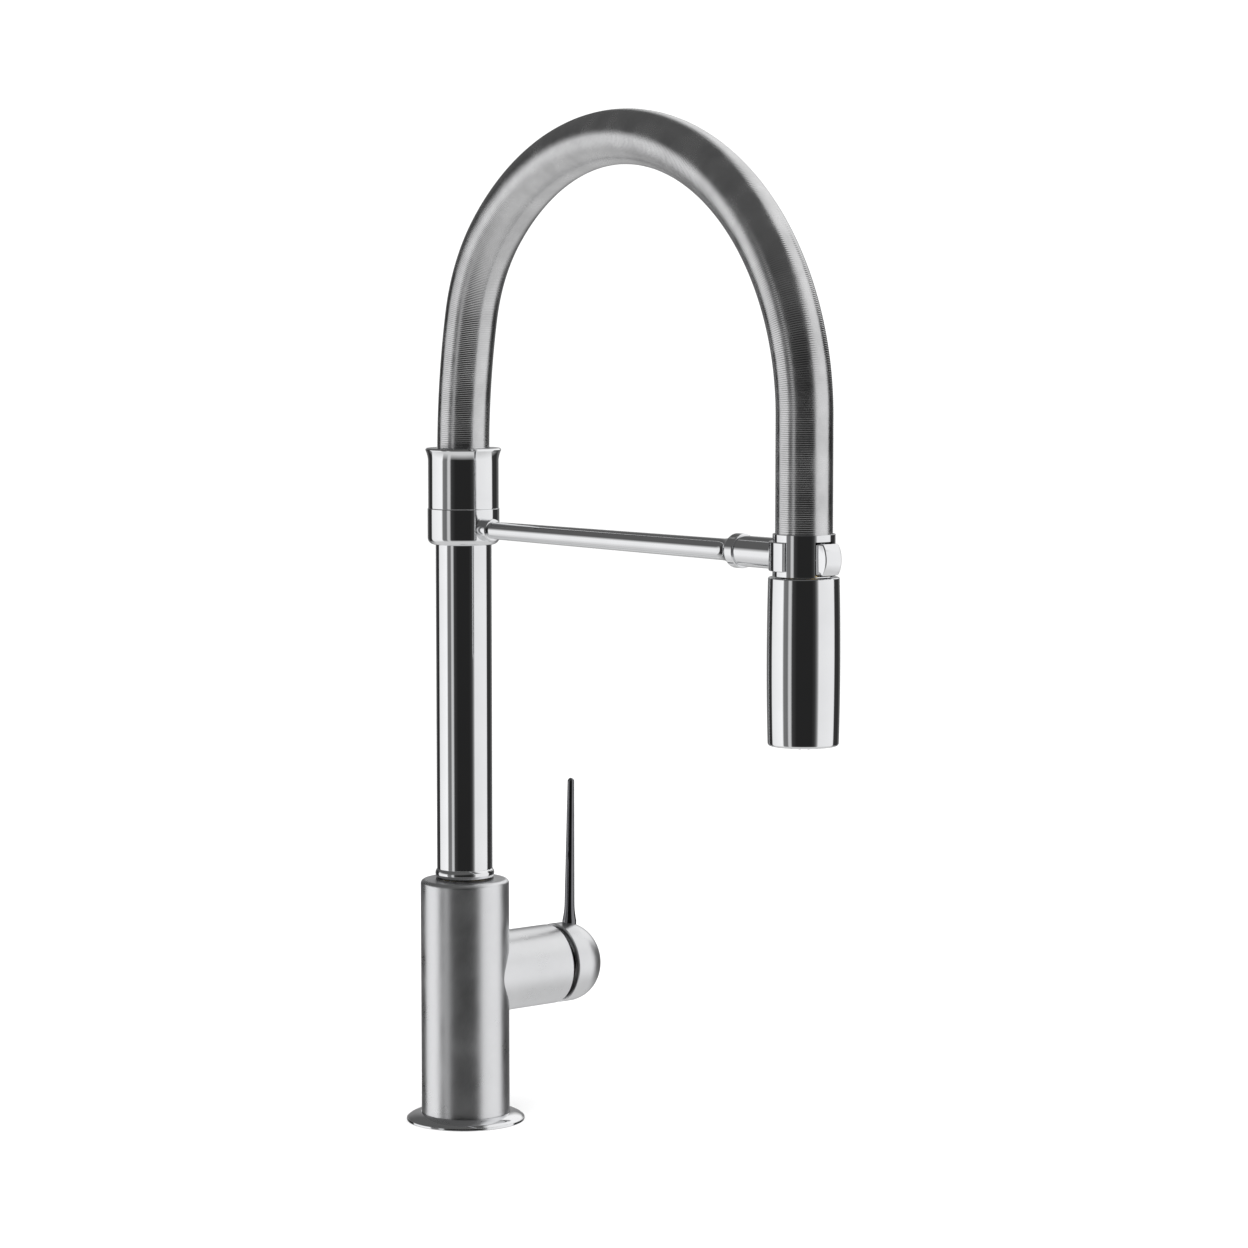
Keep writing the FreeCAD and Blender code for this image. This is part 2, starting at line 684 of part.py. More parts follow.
def post():
    """Post tube, the collar that clamps the arm, and the socket that holds the arch."""
    piece(ring("tube", "post_bore", "post_radius", POST_FLOOR, SLEEVE_FOOT), "spout_tube")
    collar = turned("collar_blank", [
        ("post_radius", COLLAR_FLOOR),
        (f"{COLLAR_RADIUS} - collar_round", COLLAR_FLOOR, "collar_round"),
        (COLLAR_RADIUS, f"{COLLAR_FLOOR} + collar_round"),
        (COLLAR_RADIUS, SOCKET_FLOOR),
        ("post_radius", SOCKET_FLOOR),
    ])
    screw_base = (0, f"{COLLAR_RADIUS} + cut_room", ARM_LEVEL)
    screw_way = rod("collar_screw_way", "grub_radius", "collar_wall + cut_room", screw_base, TO_FRONT)
    piece(cut("collar", collar, screw_way), "arm_collar")
    screw = rod("collar_screw_blank", "grub_radius", "collar_wall - grub_margin",
                (0, f"{COLLAR_RADIUS} - grub_margin", ARM_LEVEL), TO_FRONT)
    screw_key = rod("collar_screw_key", "grub_radius / 2", "grub_radius",
                    (0, f"{COLLAR_RADIUS} - grub_margin", ARM_LEVEL), TO_FRONT)
    piece(cut("collar_screw", screw, screw_key), "collar_set_screw")
    socket = turned("socket", [
        ("post_radius", SOCKET_FLOOR),
        (SOCKET_RADIUS, SOCKET_FLOOR),
        (SOCKET_RADIUS, f"{SOCKET_TOP} - socket_lip_height", "-socket_flare"),
        (SOCKET_LIP, f"{SOCKET_TOP} - socket_lip_edge"),
        (f"{SOCKET_LIP} - socket_lip_slope", SOCKET_TOP),
        ("sleeve_radius + socket_step", SOCKET_TOP),
        ("sleeve_radius + socket_step", SLEEVE_FOOT),
        ("post_radius", SLEEVE_FOOT),
    ])
    piece(socket, "sleeve_socket")


def arch_path(start):
    """Corners of the arch's middle line in the YZ plane, from a height on the post to the drop leg."""
    first = "(rise_turn * 1deg)"
    second = "((rise_turn + crook_turn) * 1deg)"
    begin = f"({SOCKET_TOP} - arch_below_lip)"
    rise_y = f"(rise_radius * (1 - cos{first}))"
    rise_z = f"({begin} + rise_radius * sin{first})"
    crook_y = f"({rise_y} + crook_radius * (cos{first} - cos{second}))"
    crook_z = f"({rise_z} + crook_radius * (sin{second} - sin{first}))"
    bow_radius = f"((reach - {crook_y}) / (1 + cos{second}))"
    bow_z = f"({crook_z} - {bow_radius} * sin{second})"
    return [
        (0, start),
        (0, begin, "rise_radius"),
        (f"-{rise_y}", rise_z, "crook_radius"),
        (f"-{crook_y}", crook_z, bow_radius),
        ("-reach", bow_z),
    ]


def bent_tube(name, bore, radius, path):
    """A tube of one bore and radius along a path in the YZ plane that starts upright."""
    body = doc.addObject("PartDesign::Body", name)
    spine = draw(attach(body, "YZ_Plane"), path, closed=False)
    profile = attach(body, "XY_Plane", path[0][1])
    for number, formula in enumerate((radius, bore)):
        circle = Part.Circle(FreeCAD.Vector(0, 0, 0), FreeCAD.Vector(0, 0, 1), size(formula))
        profile.addGeometry(circle)
        profile.addConstraint(Sketcher.Constraint("Coincident", number, 3, -1, 1))
        rule = profile.addConstraint(Sketcher.Constraint("Radius", number, size(formula)))
        profile.setExpression(f"Constraints[{rule}]", sized(formula))
    doc.recompute()
    pipe = body.newObject("PartDesign::AdditivePipe", name + "_pipe")
    pipe.Profile = profile
    pipe.Spine = (spine, [f"Edge{number + 1}" for number in range(len(path) - 1)])
    return body


def arch():
    """The ribbed sleeve, the hose that runs inside it and the guide in its end."""
    sleeve_path = arch_path(SLEEVE_FOOT) + [("-reach", SLEEVE_END)]
    sleeve_bore = "(sleeve_radius - sleeve_wall)"
    piece(bent_tube("sleeve", sleeve_bore, "sleeve_radius", sleeve_path), "hose_sleeve")
    hose_path = arch_path(f"({CAVITY_TOP} - hose_start)")
    piece(bent_tube("hose", "hose_bore", "hose_radius", hose_path), "spray_hose")
    guide_floor = f"({SLEEVE_END} + guide_inset)"
    guide = ring("guide", "hose_radius + loose_gap", sleeve_bore, guide_floor, f"{guide_floor} + guide_height",
                 WAND_BASE)
    piece(guide, "hose_guide")


def arm():
    """The support arm with its end rings, the dock cradle, its magnet and its screw."""
    arm_base = (0, 0, ARM_LEVEL)
    root_end = f"({COLLAR_RADIUS} + arm_root_length)"
    cradle_outer = "(neck_radius + moving_gap + cradle_wall)"
    stub_start = f"(reach - {cradle_outer} - stub_length)"
    ring_start = f"({stub_start} - arm_ring_length)"
    root = ring("root_blank", 0, "arm_root_radius", "post_radius", root_end, arm_base, TO_FRONT)
    around_collar = rod("root_saddle", COLLAR_RADIUS, "collar_height", (0, 0, COLLAR_FLOOR))
    piece(cut("root", root, around_collar), "arm_root_ring")
    screw_start = f"({stub_start} - arm_ring_length - screw_length + screw_head_height)"
    support = turned("support_blank", [
        (0, root_end),
        ("arm_start_radius", root_end),
        ("arm_end_radius", f"{ring_start} - arm_flare_length", "-arm_flare_curve"),
        ("arm_flare_radius", ring_start),
        ("screw_radius", ring_start),
        ("screw_radius", screw_start),
        (0, screw_start),
    ], arm_base, TO_FRONT)
    piece(support, "support_arm")
    end_ring = ring("end_ring", "screw_radius", "arm_ring_radius", ring_start, stub_start, arm_base, TO_FRONT)
    piece(end_ring, "arm_end_ring")
    head_end = f"({stub_start} + screw_seat + screw_head_height)"
    screw = turned("arm_screw", [
        (0, screw_start),
        ("screw_radius", screw_start),
        ("screw_radius", f"{stub_start} + screw_seat"),
        ("screw_head_radius", f"{stub_start} + screw_seat"),
        ("screw_head_radius", head_end),
        (0, head_end),
    ], arm_base, TO_FRONT)
    piece(screw, "arm_screw")

    cradle_floor = f"({ARM_LEVEL} - cradle_height / 2)"
    hoop = ring("hoop", "neck_radius + moving_gap", cradle_outer, cradle_floor,
                f"{cradle_floor} + cradle_height", WAND_BASE)
    mouth_lift = f"({cradle_outer} * cos(cradle_half_angle * 1deg))"
    mouth = block("mouth", (f"2 * {cradle_outer}", cradle_outer, "cradle_height"),
                  (f"-{cradle_outer}", f"-reach + {mouth_lift} - {cradle_outer}", cradle_floor))
    stub = ring("stub", 0, "stub_radius", stub_start, "reach - neck_radius - moving_gap", arm_base, TO_FRONT)
    neck_way = rod("neck_way", "neck_radius + moving_gap", "2 * cradle_height",
                   (0, "-reach", f"{cradle_floor} - cradle_height / 2"))
    magnet_start = "(reach - neck_radius - moving_gap - magnet_thickness - loose_gap)"
    magnet_way = rod("magnet_way", "magnet_radius", "reach", (0, f"-{magnet_start}", ARM_LEVEL), TO_FRONT)
    head_way = rod("head_way", "screw_head_radius", "reach", (0, f"-{stub_start} - screw_seat", ARM_LEVEL), TO_FRONT)
    shank_way = rod("shank_way", "screw_radius", "reach", (0, f"-{stub_start}", ARM_LEVEL), TO_FRONT)
    clip = joined("clip_blank", cut("open_hoop", hoop, mouth), stub)
    piece(cut("cradle", clip, neck_way, magnet_way, head_way, shank_way), "dock_cradle")
    magnet = rod("magnet_blank", "magnet_radius", "magnet_thickness", (0, f"-{magnet_start}", ARM_LEVEL), TO_FRONT)
    piece(magnet, "dock_magnet")


def hose_end():
    """The hose's drop leg and its crimped end inside the neck."""
    leg_top = arch_path(SLEEVE_FOOT)[-1][1]
    crimp_floor = f"({NECK_FLOOR} + crimp_lift)"
    crimp_top = f"({crimp_floor} + crimp_height)"
    piece(ring("leg", "hose_bore", "hose_radius", crimp_top, leg_top, WAND_BASE), "hose_drop_leg")
    crimp = turned("crimp", [
        ("hose_bore", crimp_floor),
        ("crimp_flange", crimp_floor),
        ("crimp_flange", f"{crimp_floor} + crimp_flange_height"),
        ("crimp_radius", f"{crimp_floor} + crimp_flange_height"),
        ("crimp_radius", crimp_top),
        ("hose_bore", crimp_top),
    ], WAND_BASE)
    piece(crimp, "hose_crimp")
    return crimp_floor


def neck(crimp_floor):
    """Neck collar of the hand spray with the nut that joins it to the hose."""
    cup_floor = f"({NECK_TOP} - cup_depth)"
    collar = turned("neck_blank", [
        ("neck_bore", NECK_FLOOR),
        ("neck_radius", NECK_FLOOR),
        ("neck_radius", NECK_TOP),
        ("neck_radius - cup_wall", NECK_TOP),
        ("neck_radius - cup_wall", cup_floor),
        ("neck_bore", cup_floor),
    ], WAND_BASE)
    window_half = "(toggle_width / 2 + moving_gap)"
    window_height = "(toggle_height + 2 * toggle_swing_room)"
    window = block("window", (f"2 * {window_half}", "neck_radius", window_height),
                   (f"-{window_half}", "-reach - neck_radius - window_back", f"{TOGGLE_LEVEL} - {window_height} / 2"))
    pin_base = ("-toggle_pin_half", "-reach - toggle_pivot", TOGGLE_LEVEL)
    pin_way = rod("toggle_pin_way", "toggle_pin_radius", "2 * toggle_pin_half", pin_base, TO_SIDE)
    piece(cut("neck", collar, window, pin_way), "neck_collar")
    piece(rod("toggle_pin", "toggle_pin_radius", "2 * toggle_pin_half", pin_base, TO_SIDE), "toggle_pin")

    plate = ring("plate_blank", "neck_bore - strike_thickness", "neck_bore", f"{NECK_FLOOR} + strike_foot",
                 f"{cup_floor} - strike_head", WAND_BASE)
    front = block("plate_front", ("2 * neck_bore", "2 * neck_bore", "neck_height"),
                  ("-neck_bore", "strike_edge - reach - 2 * neck_bore", NECK_FLOOR))
    piece(cut("plate", plate, front), "strike_plate")

    seat = f"({crimp_floor} - running_gap)"
    chamber_top = f"({crimp_floor} + crimp_flange_height + running_gap)"
    nut_floor = f"({seat} - swivel_nut_height / 2)"
    thread = "(crimp_flange + running_gap)"
    nut = turned("swivel_nut", [
        (thread, nut_floor),
        ("swivel_nut_radius", nut_floor),
        ("swivel_nut_radius", f"{nut_floor} + swivel_nut_height"),
        ("crimp_radius + running_gap", f"{nut_floor} + swivel_nut_height"),
        ("crimp_radius + running_gap", chamber_top),
        (thread, chamber_top),
    ], WAND_BASE)
    piece(nut, "swivel_nut")
    return seat, thread, nut_floor


def hand_spray(seat, thread, nut_floor):
    """Shell of the hand spray and the waterworks inside it."""
    mouth_top = f"({WAND_FLOOR} + wand_mouth)"
    connector_floor = f"({nut_floor} - connector_flange - connector_gap)"
    flange_top = f"({connector_floor} + connector_flange)"
    shell = turned("shell", [
        (WAND_BORE, mouth_top),
        ("wand_end_radius - wand_round", mouth_top),
        ("wand_end_radius - wand_round", WAND_FLOOR, "wand_round"),
        ("wand_end_radius", f"{WAND_FLOOR} + wand_round", "wand_barrel_curve"),
        ("wand_end_radius", f"{WAND_TOP} - wand_round / 2", "wand_round / 2"),
        ("wand_end_radius - wand_round / 2", WAND_TOP),
        ("swivel_nut_radius + loose_gap", WAND_TOP),
        ("swivel_nut_radius + loose_gap", flange_top),
        (WAND_BORE, flange_top),
    ], WAND_BASE)
    piece(shell, "wand_shell")
    connector = turned("connector", [
        ("check_valve_radius", connector_floor),
        (WAND_BORE, connector_floor),
        (WAND_BORE, flange_top),
        (thread, flange_top),
        (thread, seat),
        ("hose_bore", seat),
        ("hose_bore", f"{connector_floor} + check_valve_height"),
        ("check_valve_radius", f"{connector_floor} + check_valve_height"),
    ], WAND_BASE)
    piece(connector, "inlet_connector")
    valve = ring("check", "hose_bore / 2", "check_valve_radius", connector_floor,
                 f"{connector_floor} + check_valve_height", WAND_BASE)
    piece(valve, "check_valve")
    diverter_floor = f"({connector_floor} - diverter_height)"
    diverter = ring("diverter_blank", 0, WAND_BORE, diverter_floor, connector_floor, WAND_BASE)
    ways = [rod(f"diverter_way_{number}", "hose_bore / 2", "diverter_height",
                (x, f"-reach + {y}", diverter_floor)) for number, (x, y) in enumerate(around(3, "diverter_circle"))]
    piece(cut("diverter", diverter, *ways), "diverter_body")

    face_floor = f"({WAND_FLOOR} + face_recess)"
    face_top = f"({face_floor} + face_thickness)"
    face_radius = "(wand_end_radius - wand_round)"
    face = ring("face_blank", "aerator_radius", face_radius, face_floor, face_top, WAND_BASE)
    spots = [(12, "nozzle_circle"), (18, "nozzle_circle + nozzle_circle_step")]
    holes = []
    nozzles = []
    for count, circle in spots:
        for x, y in around(count, circle):
            number = len(holes)
            y_place = f"-reach + {y}"
            holes.append(rod(f"face_hole_{number}", "nozzle_radius", "face_thickness", (x, y_place, face_floor)))
            nozzles.append(rod(f"nozzle_{number}", "nozzle_radius", "face_thickness + nozzle_drop",
                               (x, y_place, f"{face_floor} - nozzle_drop")))
    piece(cut("face", face, *holes), "spray_face")
    piece(joined("nozzles", *nozzles), "spray_nozzles")
    aerator = turned("aerator", [
        (0, f"{face_floor} + aerator_rim"),
        ("aerator_radius - aerator_rim", f"{face_floor} + aerator_rim"),
        ("aerator_radius - aerator_rim", f"{face_floor} - aerator_proud"),
        ("aerator_radius", f"{face_floor} - aerator_proud"),
        ("aerator_radius", face_top),
        (0, face_top),
    ], WAND_BASE)
    piece(aerator, "aerator")


def toggle():
    """Rocker on the front of the neck that picks stream or spray."""
    body = doc.addObject("PartDesign::Body", "rocker")
    half = "(toggle_height / 2)"
    outline = draw(attach(body, "YZ_Plane"), [
        ("-toggle_back", half),
        ("-toggle_shoulder", half, "toggle_face_radius"),
        ("-toggle_shoulder", f"-{half}"),
        ("-toggle_back", f"-{half}"),
    ])
    pad = body.newObject("PartDesign::Pad", "rocker_pad")
    pad.Profile = outline
    pad.setExpression("Length", sized("toggle_width"))
    pad.Midplane = True
    place(body, (0, "-reach", TOGGLE_LEVEL))
    eye = rod("rocker_eye", "toggle_pin_radius + running_gap", "4 * toggle_pin_half",
              ("-2 * toggle_pin_half", "-reach - toggle_pivot", TOGGLE_LEVEL), TO_SIDE)
    piece(cut("rocker_cut", body, eye), "selector_toggle")


def check_model():
    """Stop before anything is written if an object or a piece failed."""
    for item in doc.Objects:
        if {"Invalid", "Error"} & set(item.State):
            raise RuntimeError(f"{item.Label} failed: {item.State}")
    for item in pieces:
        if item.Shape.isNull() or not item.Shape.isValid() or item.Shape.Volume <= 0:
            raise RuntimeError(f"{item.Label} has no valid solid")


deck_parts()
lower_body()
side_valve()
handle()
swivel()
post()
arch()
arm()
toggle()
hand_spray(*neck(hose_end()))
doc.recompute()
check_model()
for item in pieces:
    item.Shape.exportStep(f"parts/{item.Label}.step")
print(len(pieces), "pieces written")
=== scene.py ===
import json
import math

import bmesh
import bpy
import numpy as np
from mathutils import Matrix, Vector


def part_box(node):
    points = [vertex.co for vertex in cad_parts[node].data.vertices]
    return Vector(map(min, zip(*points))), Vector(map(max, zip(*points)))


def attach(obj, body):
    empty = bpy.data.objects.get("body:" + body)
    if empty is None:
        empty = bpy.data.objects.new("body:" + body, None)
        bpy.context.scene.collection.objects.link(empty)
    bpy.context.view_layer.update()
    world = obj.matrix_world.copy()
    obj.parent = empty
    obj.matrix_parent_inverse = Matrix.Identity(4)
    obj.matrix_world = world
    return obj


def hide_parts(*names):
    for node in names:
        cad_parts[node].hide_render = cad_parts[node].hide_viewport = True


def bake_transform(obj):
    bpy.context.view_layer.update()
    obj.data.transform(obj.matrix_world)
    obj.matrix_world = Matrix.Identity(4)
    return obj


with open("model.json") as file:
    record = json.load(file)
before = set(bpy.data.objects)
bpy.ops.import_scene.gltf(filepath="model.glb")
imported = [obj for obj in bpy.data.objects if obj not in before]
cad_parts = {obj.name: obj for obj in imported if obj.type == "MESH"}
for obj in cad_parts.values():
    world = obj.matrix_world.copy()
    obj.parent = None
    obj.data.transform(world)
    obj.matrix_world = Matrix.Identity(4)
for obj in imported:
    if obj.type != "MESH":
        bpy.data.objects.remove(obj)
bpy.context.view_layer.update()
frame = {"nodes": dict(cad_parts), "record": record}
MM = 0.001

# Sizes are in millimetres in the frame of the CAD model; levels come from the boxes of its nodes.
BODY_RADIUS, BODY_BORE, BODY_SEAT = 22.95, 20, 16.2
FLANGE_RIM, FLANGE_FOOT, FLANGE_BORE = 30.7, 23.25, 17.6
SWIVEL_BORE = 13.05
SHANK_RADIUS, SHANK_BORE = 16.2, 14.3
NUT_RADIUS, NUT_BORE = 23, 16.25
JACK_RADIUS, JACK_CIRCLE = 2.5, 19.6
PIPE_RADIUS, PIPE_BORE, NIPPLE_RADIUS, NIPPLE_LENGTH = 3.1, 2.3, 5, 14
BARREL_RADIUS, BARREL_BORE = 20.9, 18.5
CAP_BORE, CAP_GAP, CAP_STRAIGHT, CAP_LENGTH = 18.9, 3.2, 7.5, 22.5
CAP_SHOULDER, CAP_FACE, CAP_CROWN = 17, 9, 31
PIVOT_BEHIND_RIM = 15.5
STEM_RADIUS, STEM_DEPTH = 3.5, 5
LEVER_FROM_RIM, LEVER_LEAN, LEVER_TOP = 9.9, 0.9, 173.5
LEVER_FOOT, LEVER_WAIST, LEVER_TIP = 3.7, 2.65, 1.75
FOOT_LENGTH, WAIST_AT, FOOT_SWEEP = 4.7, 13.7, 44
SCREW_HOLE = 2.05
POST_RADIUS, POST_BORE = 14.4, 12.8
COLLAR_RADIUS, COLLAR_BORE, COLLAR_ROUND = 18.5, 14.42, 3.5
SOCKET_RADIUS, SOCKET_LIP, SOCKET_BORE, FLARE, FLARE_SWEEP = 18.15, 19.5, 13.95, 6, 16
ARCH_TURNS = [(362, 11.5), (92, 29.8)]  # radius and degrees of the first two bends; a third one closes the arch
SLEEVE_RADIUS, SLEEVE_BORE, SLEEVE_SEAT = 13.45, 11.6, 4.2
RIB_PITCH, RIB_DEPTH, RIB_RINGS, PLAIN_RINGS = 1.0, 0.12, 4, 8
ARM_ROOT, ARM_START, ARM_END, ARM_FLARE, FLARE_LENGTH, ARM_STEP = 5.8, 4.45, 5.15, 7.4, 9, 8.2
STUB_RADIUS, MAGNET_HOLE = 7.3, 5.45
CRADLE_INNER, CRADLE_OUTER, CRADLE_HALF, CRADLE_SWEEP = 14.9, 16.4, 6.8, 200
NECK_RADIUS, NECK_TOP, NECK_BORE = 14.6, 13.8, 11.2
WINDOW_HALF, TOGGLE_HALF, TOGGLE_INNER, TOGGLE_OUTER, TOGGLE_ROUND = 5.3, 5, 10.8, 18.2, 12.5
WAND_RADIUS, WAND_LIP, WAND_BORE, WAND_SOCKET, WAND_BELLY = 16.6, 15.3, 14.4, 9.6, 1480
NOZZLE_CIRCLES = [(12, 8.6), (18, 11.6)]  # number of nozzles, radius of their circle
AERATOR_RADIUS, AERATOR_BORE, AERATOR_RINGS = 6.2, 5.2, (1.2, 2.6, 4.0)
HOSE_RADIUS, HOSE_BORE = 5.5, 3.6
FLOOR_HOLE, FLOOR_LEVEL = 17.5, -0.05


def low(node, axis=2):
    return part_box(node)[0][axis] / MM


def high(node, axis=2):
    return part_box(node)[1][axis] / MM


# ---------------------------------------------------------------- mesh helpers

def arc(start, end, radius, steps=10):
    """Points between start and end on an arc that turns left for a positive radius, right for a negative one."""
    run = Vector((end[0] - start[0], end[1] - start[1]))
    left = Vector((-run.y, run.x)).normalized()
    depth = math.sqrt(max(radius ** 2 - (run.length / 2) ** 2, 0))
    centre = Vector(start) + run / 2 + left * math.copysign(depth, radius)
    a0, a1 = [math.atan2(p[1] - centre.y, p[0] - centre.x) for p in (start, end)]
    if radius > 0 and a1 < a0:
        a1 += 2 * math.pi
    if radius < 0 and a1 > a0:
        a1 -= 2 * math.pi
    return [(centre.x + abs(radius) * math.cos(a0 + (a1 - a0) * k / steps),
             centre.y + abs(radius) * math.sin(a0 + (a1 - a0) * k / steps)) for k in range(1, steps)]


def rounded(corners, steps=5):
    """A closed profile: (x, y) is kept, (x, y, r) is rounded, with a point by each round to hold the shading."""
    points = []
    count = len(corners)
    for i, corner in enumerate(corners):
        here = Vector(corner[:2])
        if len(corner) < 3:
            points.append(tuple(here))
            continue
        before, after = Vector(corners[i - 1][:2]) - here, Vector(corners[(i + 1) % count][:2]) - here
        angle = before.angle(after)
        reach = min(corner[2] / math.tan(angle / 2), before.length * 0.48, after.length * 0.48)
        radius = reach * math.tan(angle / 2)
        before.normalize(), after.normalize()
        hold = reach * 1.25
        a, b = here + before * reach, here + after * reach
        middle = here + (before + after).normalized() * (radius / math.sin(angle / 2))
        points.append(tuple(here + before * hold))
        va, vb = a - middle, b - middle
        turn = va.angle(vb)
        for k in range(steps + 1):
            t = k / steps
            v = (va * math.sin((1 - t) * turn) + vb * math.sin(t * turn)) / math.sin(turn)
            points.append(tuple(middle + v))
        points.append(tuple(here + after * hold))
    return points


AXES = {
    "Z": Matrix.Identity(3),
    "X": Matrix(((0, 0, 1), (0, 1, 0), (-1, 0, 0))),
    "-Y": Matrix(((1, 0, 0), (0, 0, -1), (0, 1, 0))),
}


def make(name, verts, faces, sharp=32):
    """A mesh object from points in millimetres, welded, with its normals outward and its edges sharp by angle."""
    mesh = bpy.data.meshes.new(name)
    mesh.from_pydata((np.asarray(verts, float) * MM).tolist(), [], faces)
    bm = bmesh.new()
    bm.from_mesh(mesh)
    bmesh.ops.remove_doubles(bm, verts=bm.verts, dist=2e-7)
    bmesh.ops.dissolve_degenerate(bm, edges=bm.edges, dist=1e-8)
    bmesh.ops.recalc_face_normals(bm, faces=bm.faces)
    bm.to_mesh(mesh)
    bm.free()
    mesh.shade_smooth()
    mesh.set_sharp_from_angle(angle=math.radians(sharp))
    item = bpy.data.objects.new(name, mesh)
    bpy.context.scene.collection.objects.link(item)
    return item


def turned(profile, base=(0, 0, 0), axis="Z", segments=128, shape=None):
    """Points and faces of a closed profile of (radius, height) turned about an axis; shape may change r and h."""
    profile = np.asarray(profile, float)
    count = len(profile)
    angle = np.arange(segments) * 2 * math.pi / segments
    r = np.repeat(profile[:, :1], segments, 1)
    h = np.repeat(profile[:, 1:2], segments, 1)
    a = np.repeat(angle[None, :], count, 0)
    if shape:
        r, h = shape(r, h, a)
    local = np.stack([r * np.cos(a), r * np.sin(a), h], -1).reshape(-1, 3)
    verts = local @ np.array(AXES[axis]).T + np.array(base)
    faces = []
    for i in range(count):
        j = (i + 1) % count
        for k in range(segments):
            m = (k + 1) % segments
            faces.append((i * segments + k, i * segments + m, j * segments + m, j * segments + k))
    return verts, faces


def lathe(name, profile, base=(0, 0, 0), axis="Z", segments=128, shape=None, sharp=32):
    return make(name, *turned(profile, base, axis, segments, shape), sharp=sharp)


def several(name, shells, sharp=32):
    """One object of several shells of points and faces."""
    verts, faces, start = [], [], 0
    for v, f in shells:
        verts.append(np.asarray(v, float))
        faces += [tuple(i + start for i in face) for face in f]
        start += len(v)
    return make(name, np.concatenate(verts), faces, sharp)


def carve(item, tool, sharp=32):
    """Cut the tool's shape out of the item."""
    modifier = item.modifiers.new("carve", "BOOLEAN")
    modifier.operation = "DIFFERENCE"
    modifier.solver = "EXACT"
    modifier.object = tool
    bpy.context.view_layer.update()
    shape = item.evaluated_get(bpy.context.evaluated_depsgraph_get())
    mesh = bpy.data.meshes.new_from_object(shape)
    mesh.name = item.name
    item.modifiers.clear()
    item.data = mesh
    bpy.data.objects.remove(tool)
    mesh.set_sharp_from_angle(angle=math.radians(sharp))
    return item


def rod_tool(base, axis, radius, length, segments=64):
    return lathe("tool", [(0, 0), (radius, 0), (radius, length), (0, length)], base, axis, segments)


BOX_FACES = [(0, 1, 3, 2), (4, 6, 7, 5), (0, 4, 5, 1), (2, 3, 7, 6), (0, 2, 6, 4), (1, 5, 7, 3)]


def box_tool(lo, hi):
    x, y, z = zip(lo, hi)
    return make("tool", [(x[i], y[j], z[k]) for i in (0, 1) for j in (0, 1) for k in (0, 1)], BOX_FACES)


def saddle(radius, mark, centre=0.0, cross="sin", side=1):
    """Shape for turned(): points whose height is mark move onto a cylinder that crosses the axis."""
    def shape(r, h, a):
        across = r * (np.sin(a) if cross == "sin" else np.cos(a))
        return r, np.where(np.isclose(h, mark), centre + side * np.sqrt(radius ** 2 - across ** 2), h)
    return shape


def thread(outer, depth, pitch, start, end):
    """Shape for turned(): a screw thread on points at the outer radius between two heights."""
    def shape(r, h, a):
        wave = np.abs(((h / pitch - a / (2 * math.pi)) % 1) * 2 - 1)
        fade = np.clip((h - start) / pitch, 0, 1) * np.clip((end - h) / pitch, 0, 1)
        return np.where(np.isclose(r, outer), r - depth * np.where(fade > 0, 1 - fade * wave, 1), r), h
    return shape


def run(radius, start, end, step):
    """Profile points straight up at one radius."""
    count = max(2, int(round((end - start) / step)))
    return [(radius, start + (end - start) * k / count) for k in range(count + 1)]


# ---------------------------------------------------------------- materials

def nodes_of(material):
    material.use_nodes = True
    tree = material.node_tree
    return tree, tree.nodes["Principled BSDF"]


def noise(tree, vector, scale, detail=3.0, rough=0.5):
    node = tree.nodes.new("ShaderNodeTexNoise")
    node.inputs["Scale"].default_value = scale
    node.inputs["Detail"].default_value = detail
    node.inputs["Roughness"].default_value = rough
    tree.links.new(vector, node.inputs["Vector"])
    return node.outputs["Fac"]


def spread(tree, value, low_to, high_to, low_from=0.35, high_from=0.65):
    node = tree.nodes.new("ShaderNodeMapRange")
    for key, number in (("From Min", low_from), ("From Max", high_from), ("To Min", low_to), ("To Max", high_to)):
        node.inputs[key].default_value = number
    tree.links.new(value, node.inputs["Value"])
    return node.outputs["Result"]


def blend_colour(tree, factor, first, second):
    node = tree.nodes.new("ShaderNodeMix")
    node.data_type = "RGBA"
    tree.links.new(factor, node.inputs["Factor"])
    for socket, colour in ((node.inputs[6], first), (node.inputs[7], second)):
        if hasattr(colour, "links"):
            tree.links.new(colour, socket)
        else:
            socket.default_value = (*colour, 1)
    return node.outputs[2]


def shade(colour, factor):
    return tuple(min(1.0, c * factor) for c in colour)


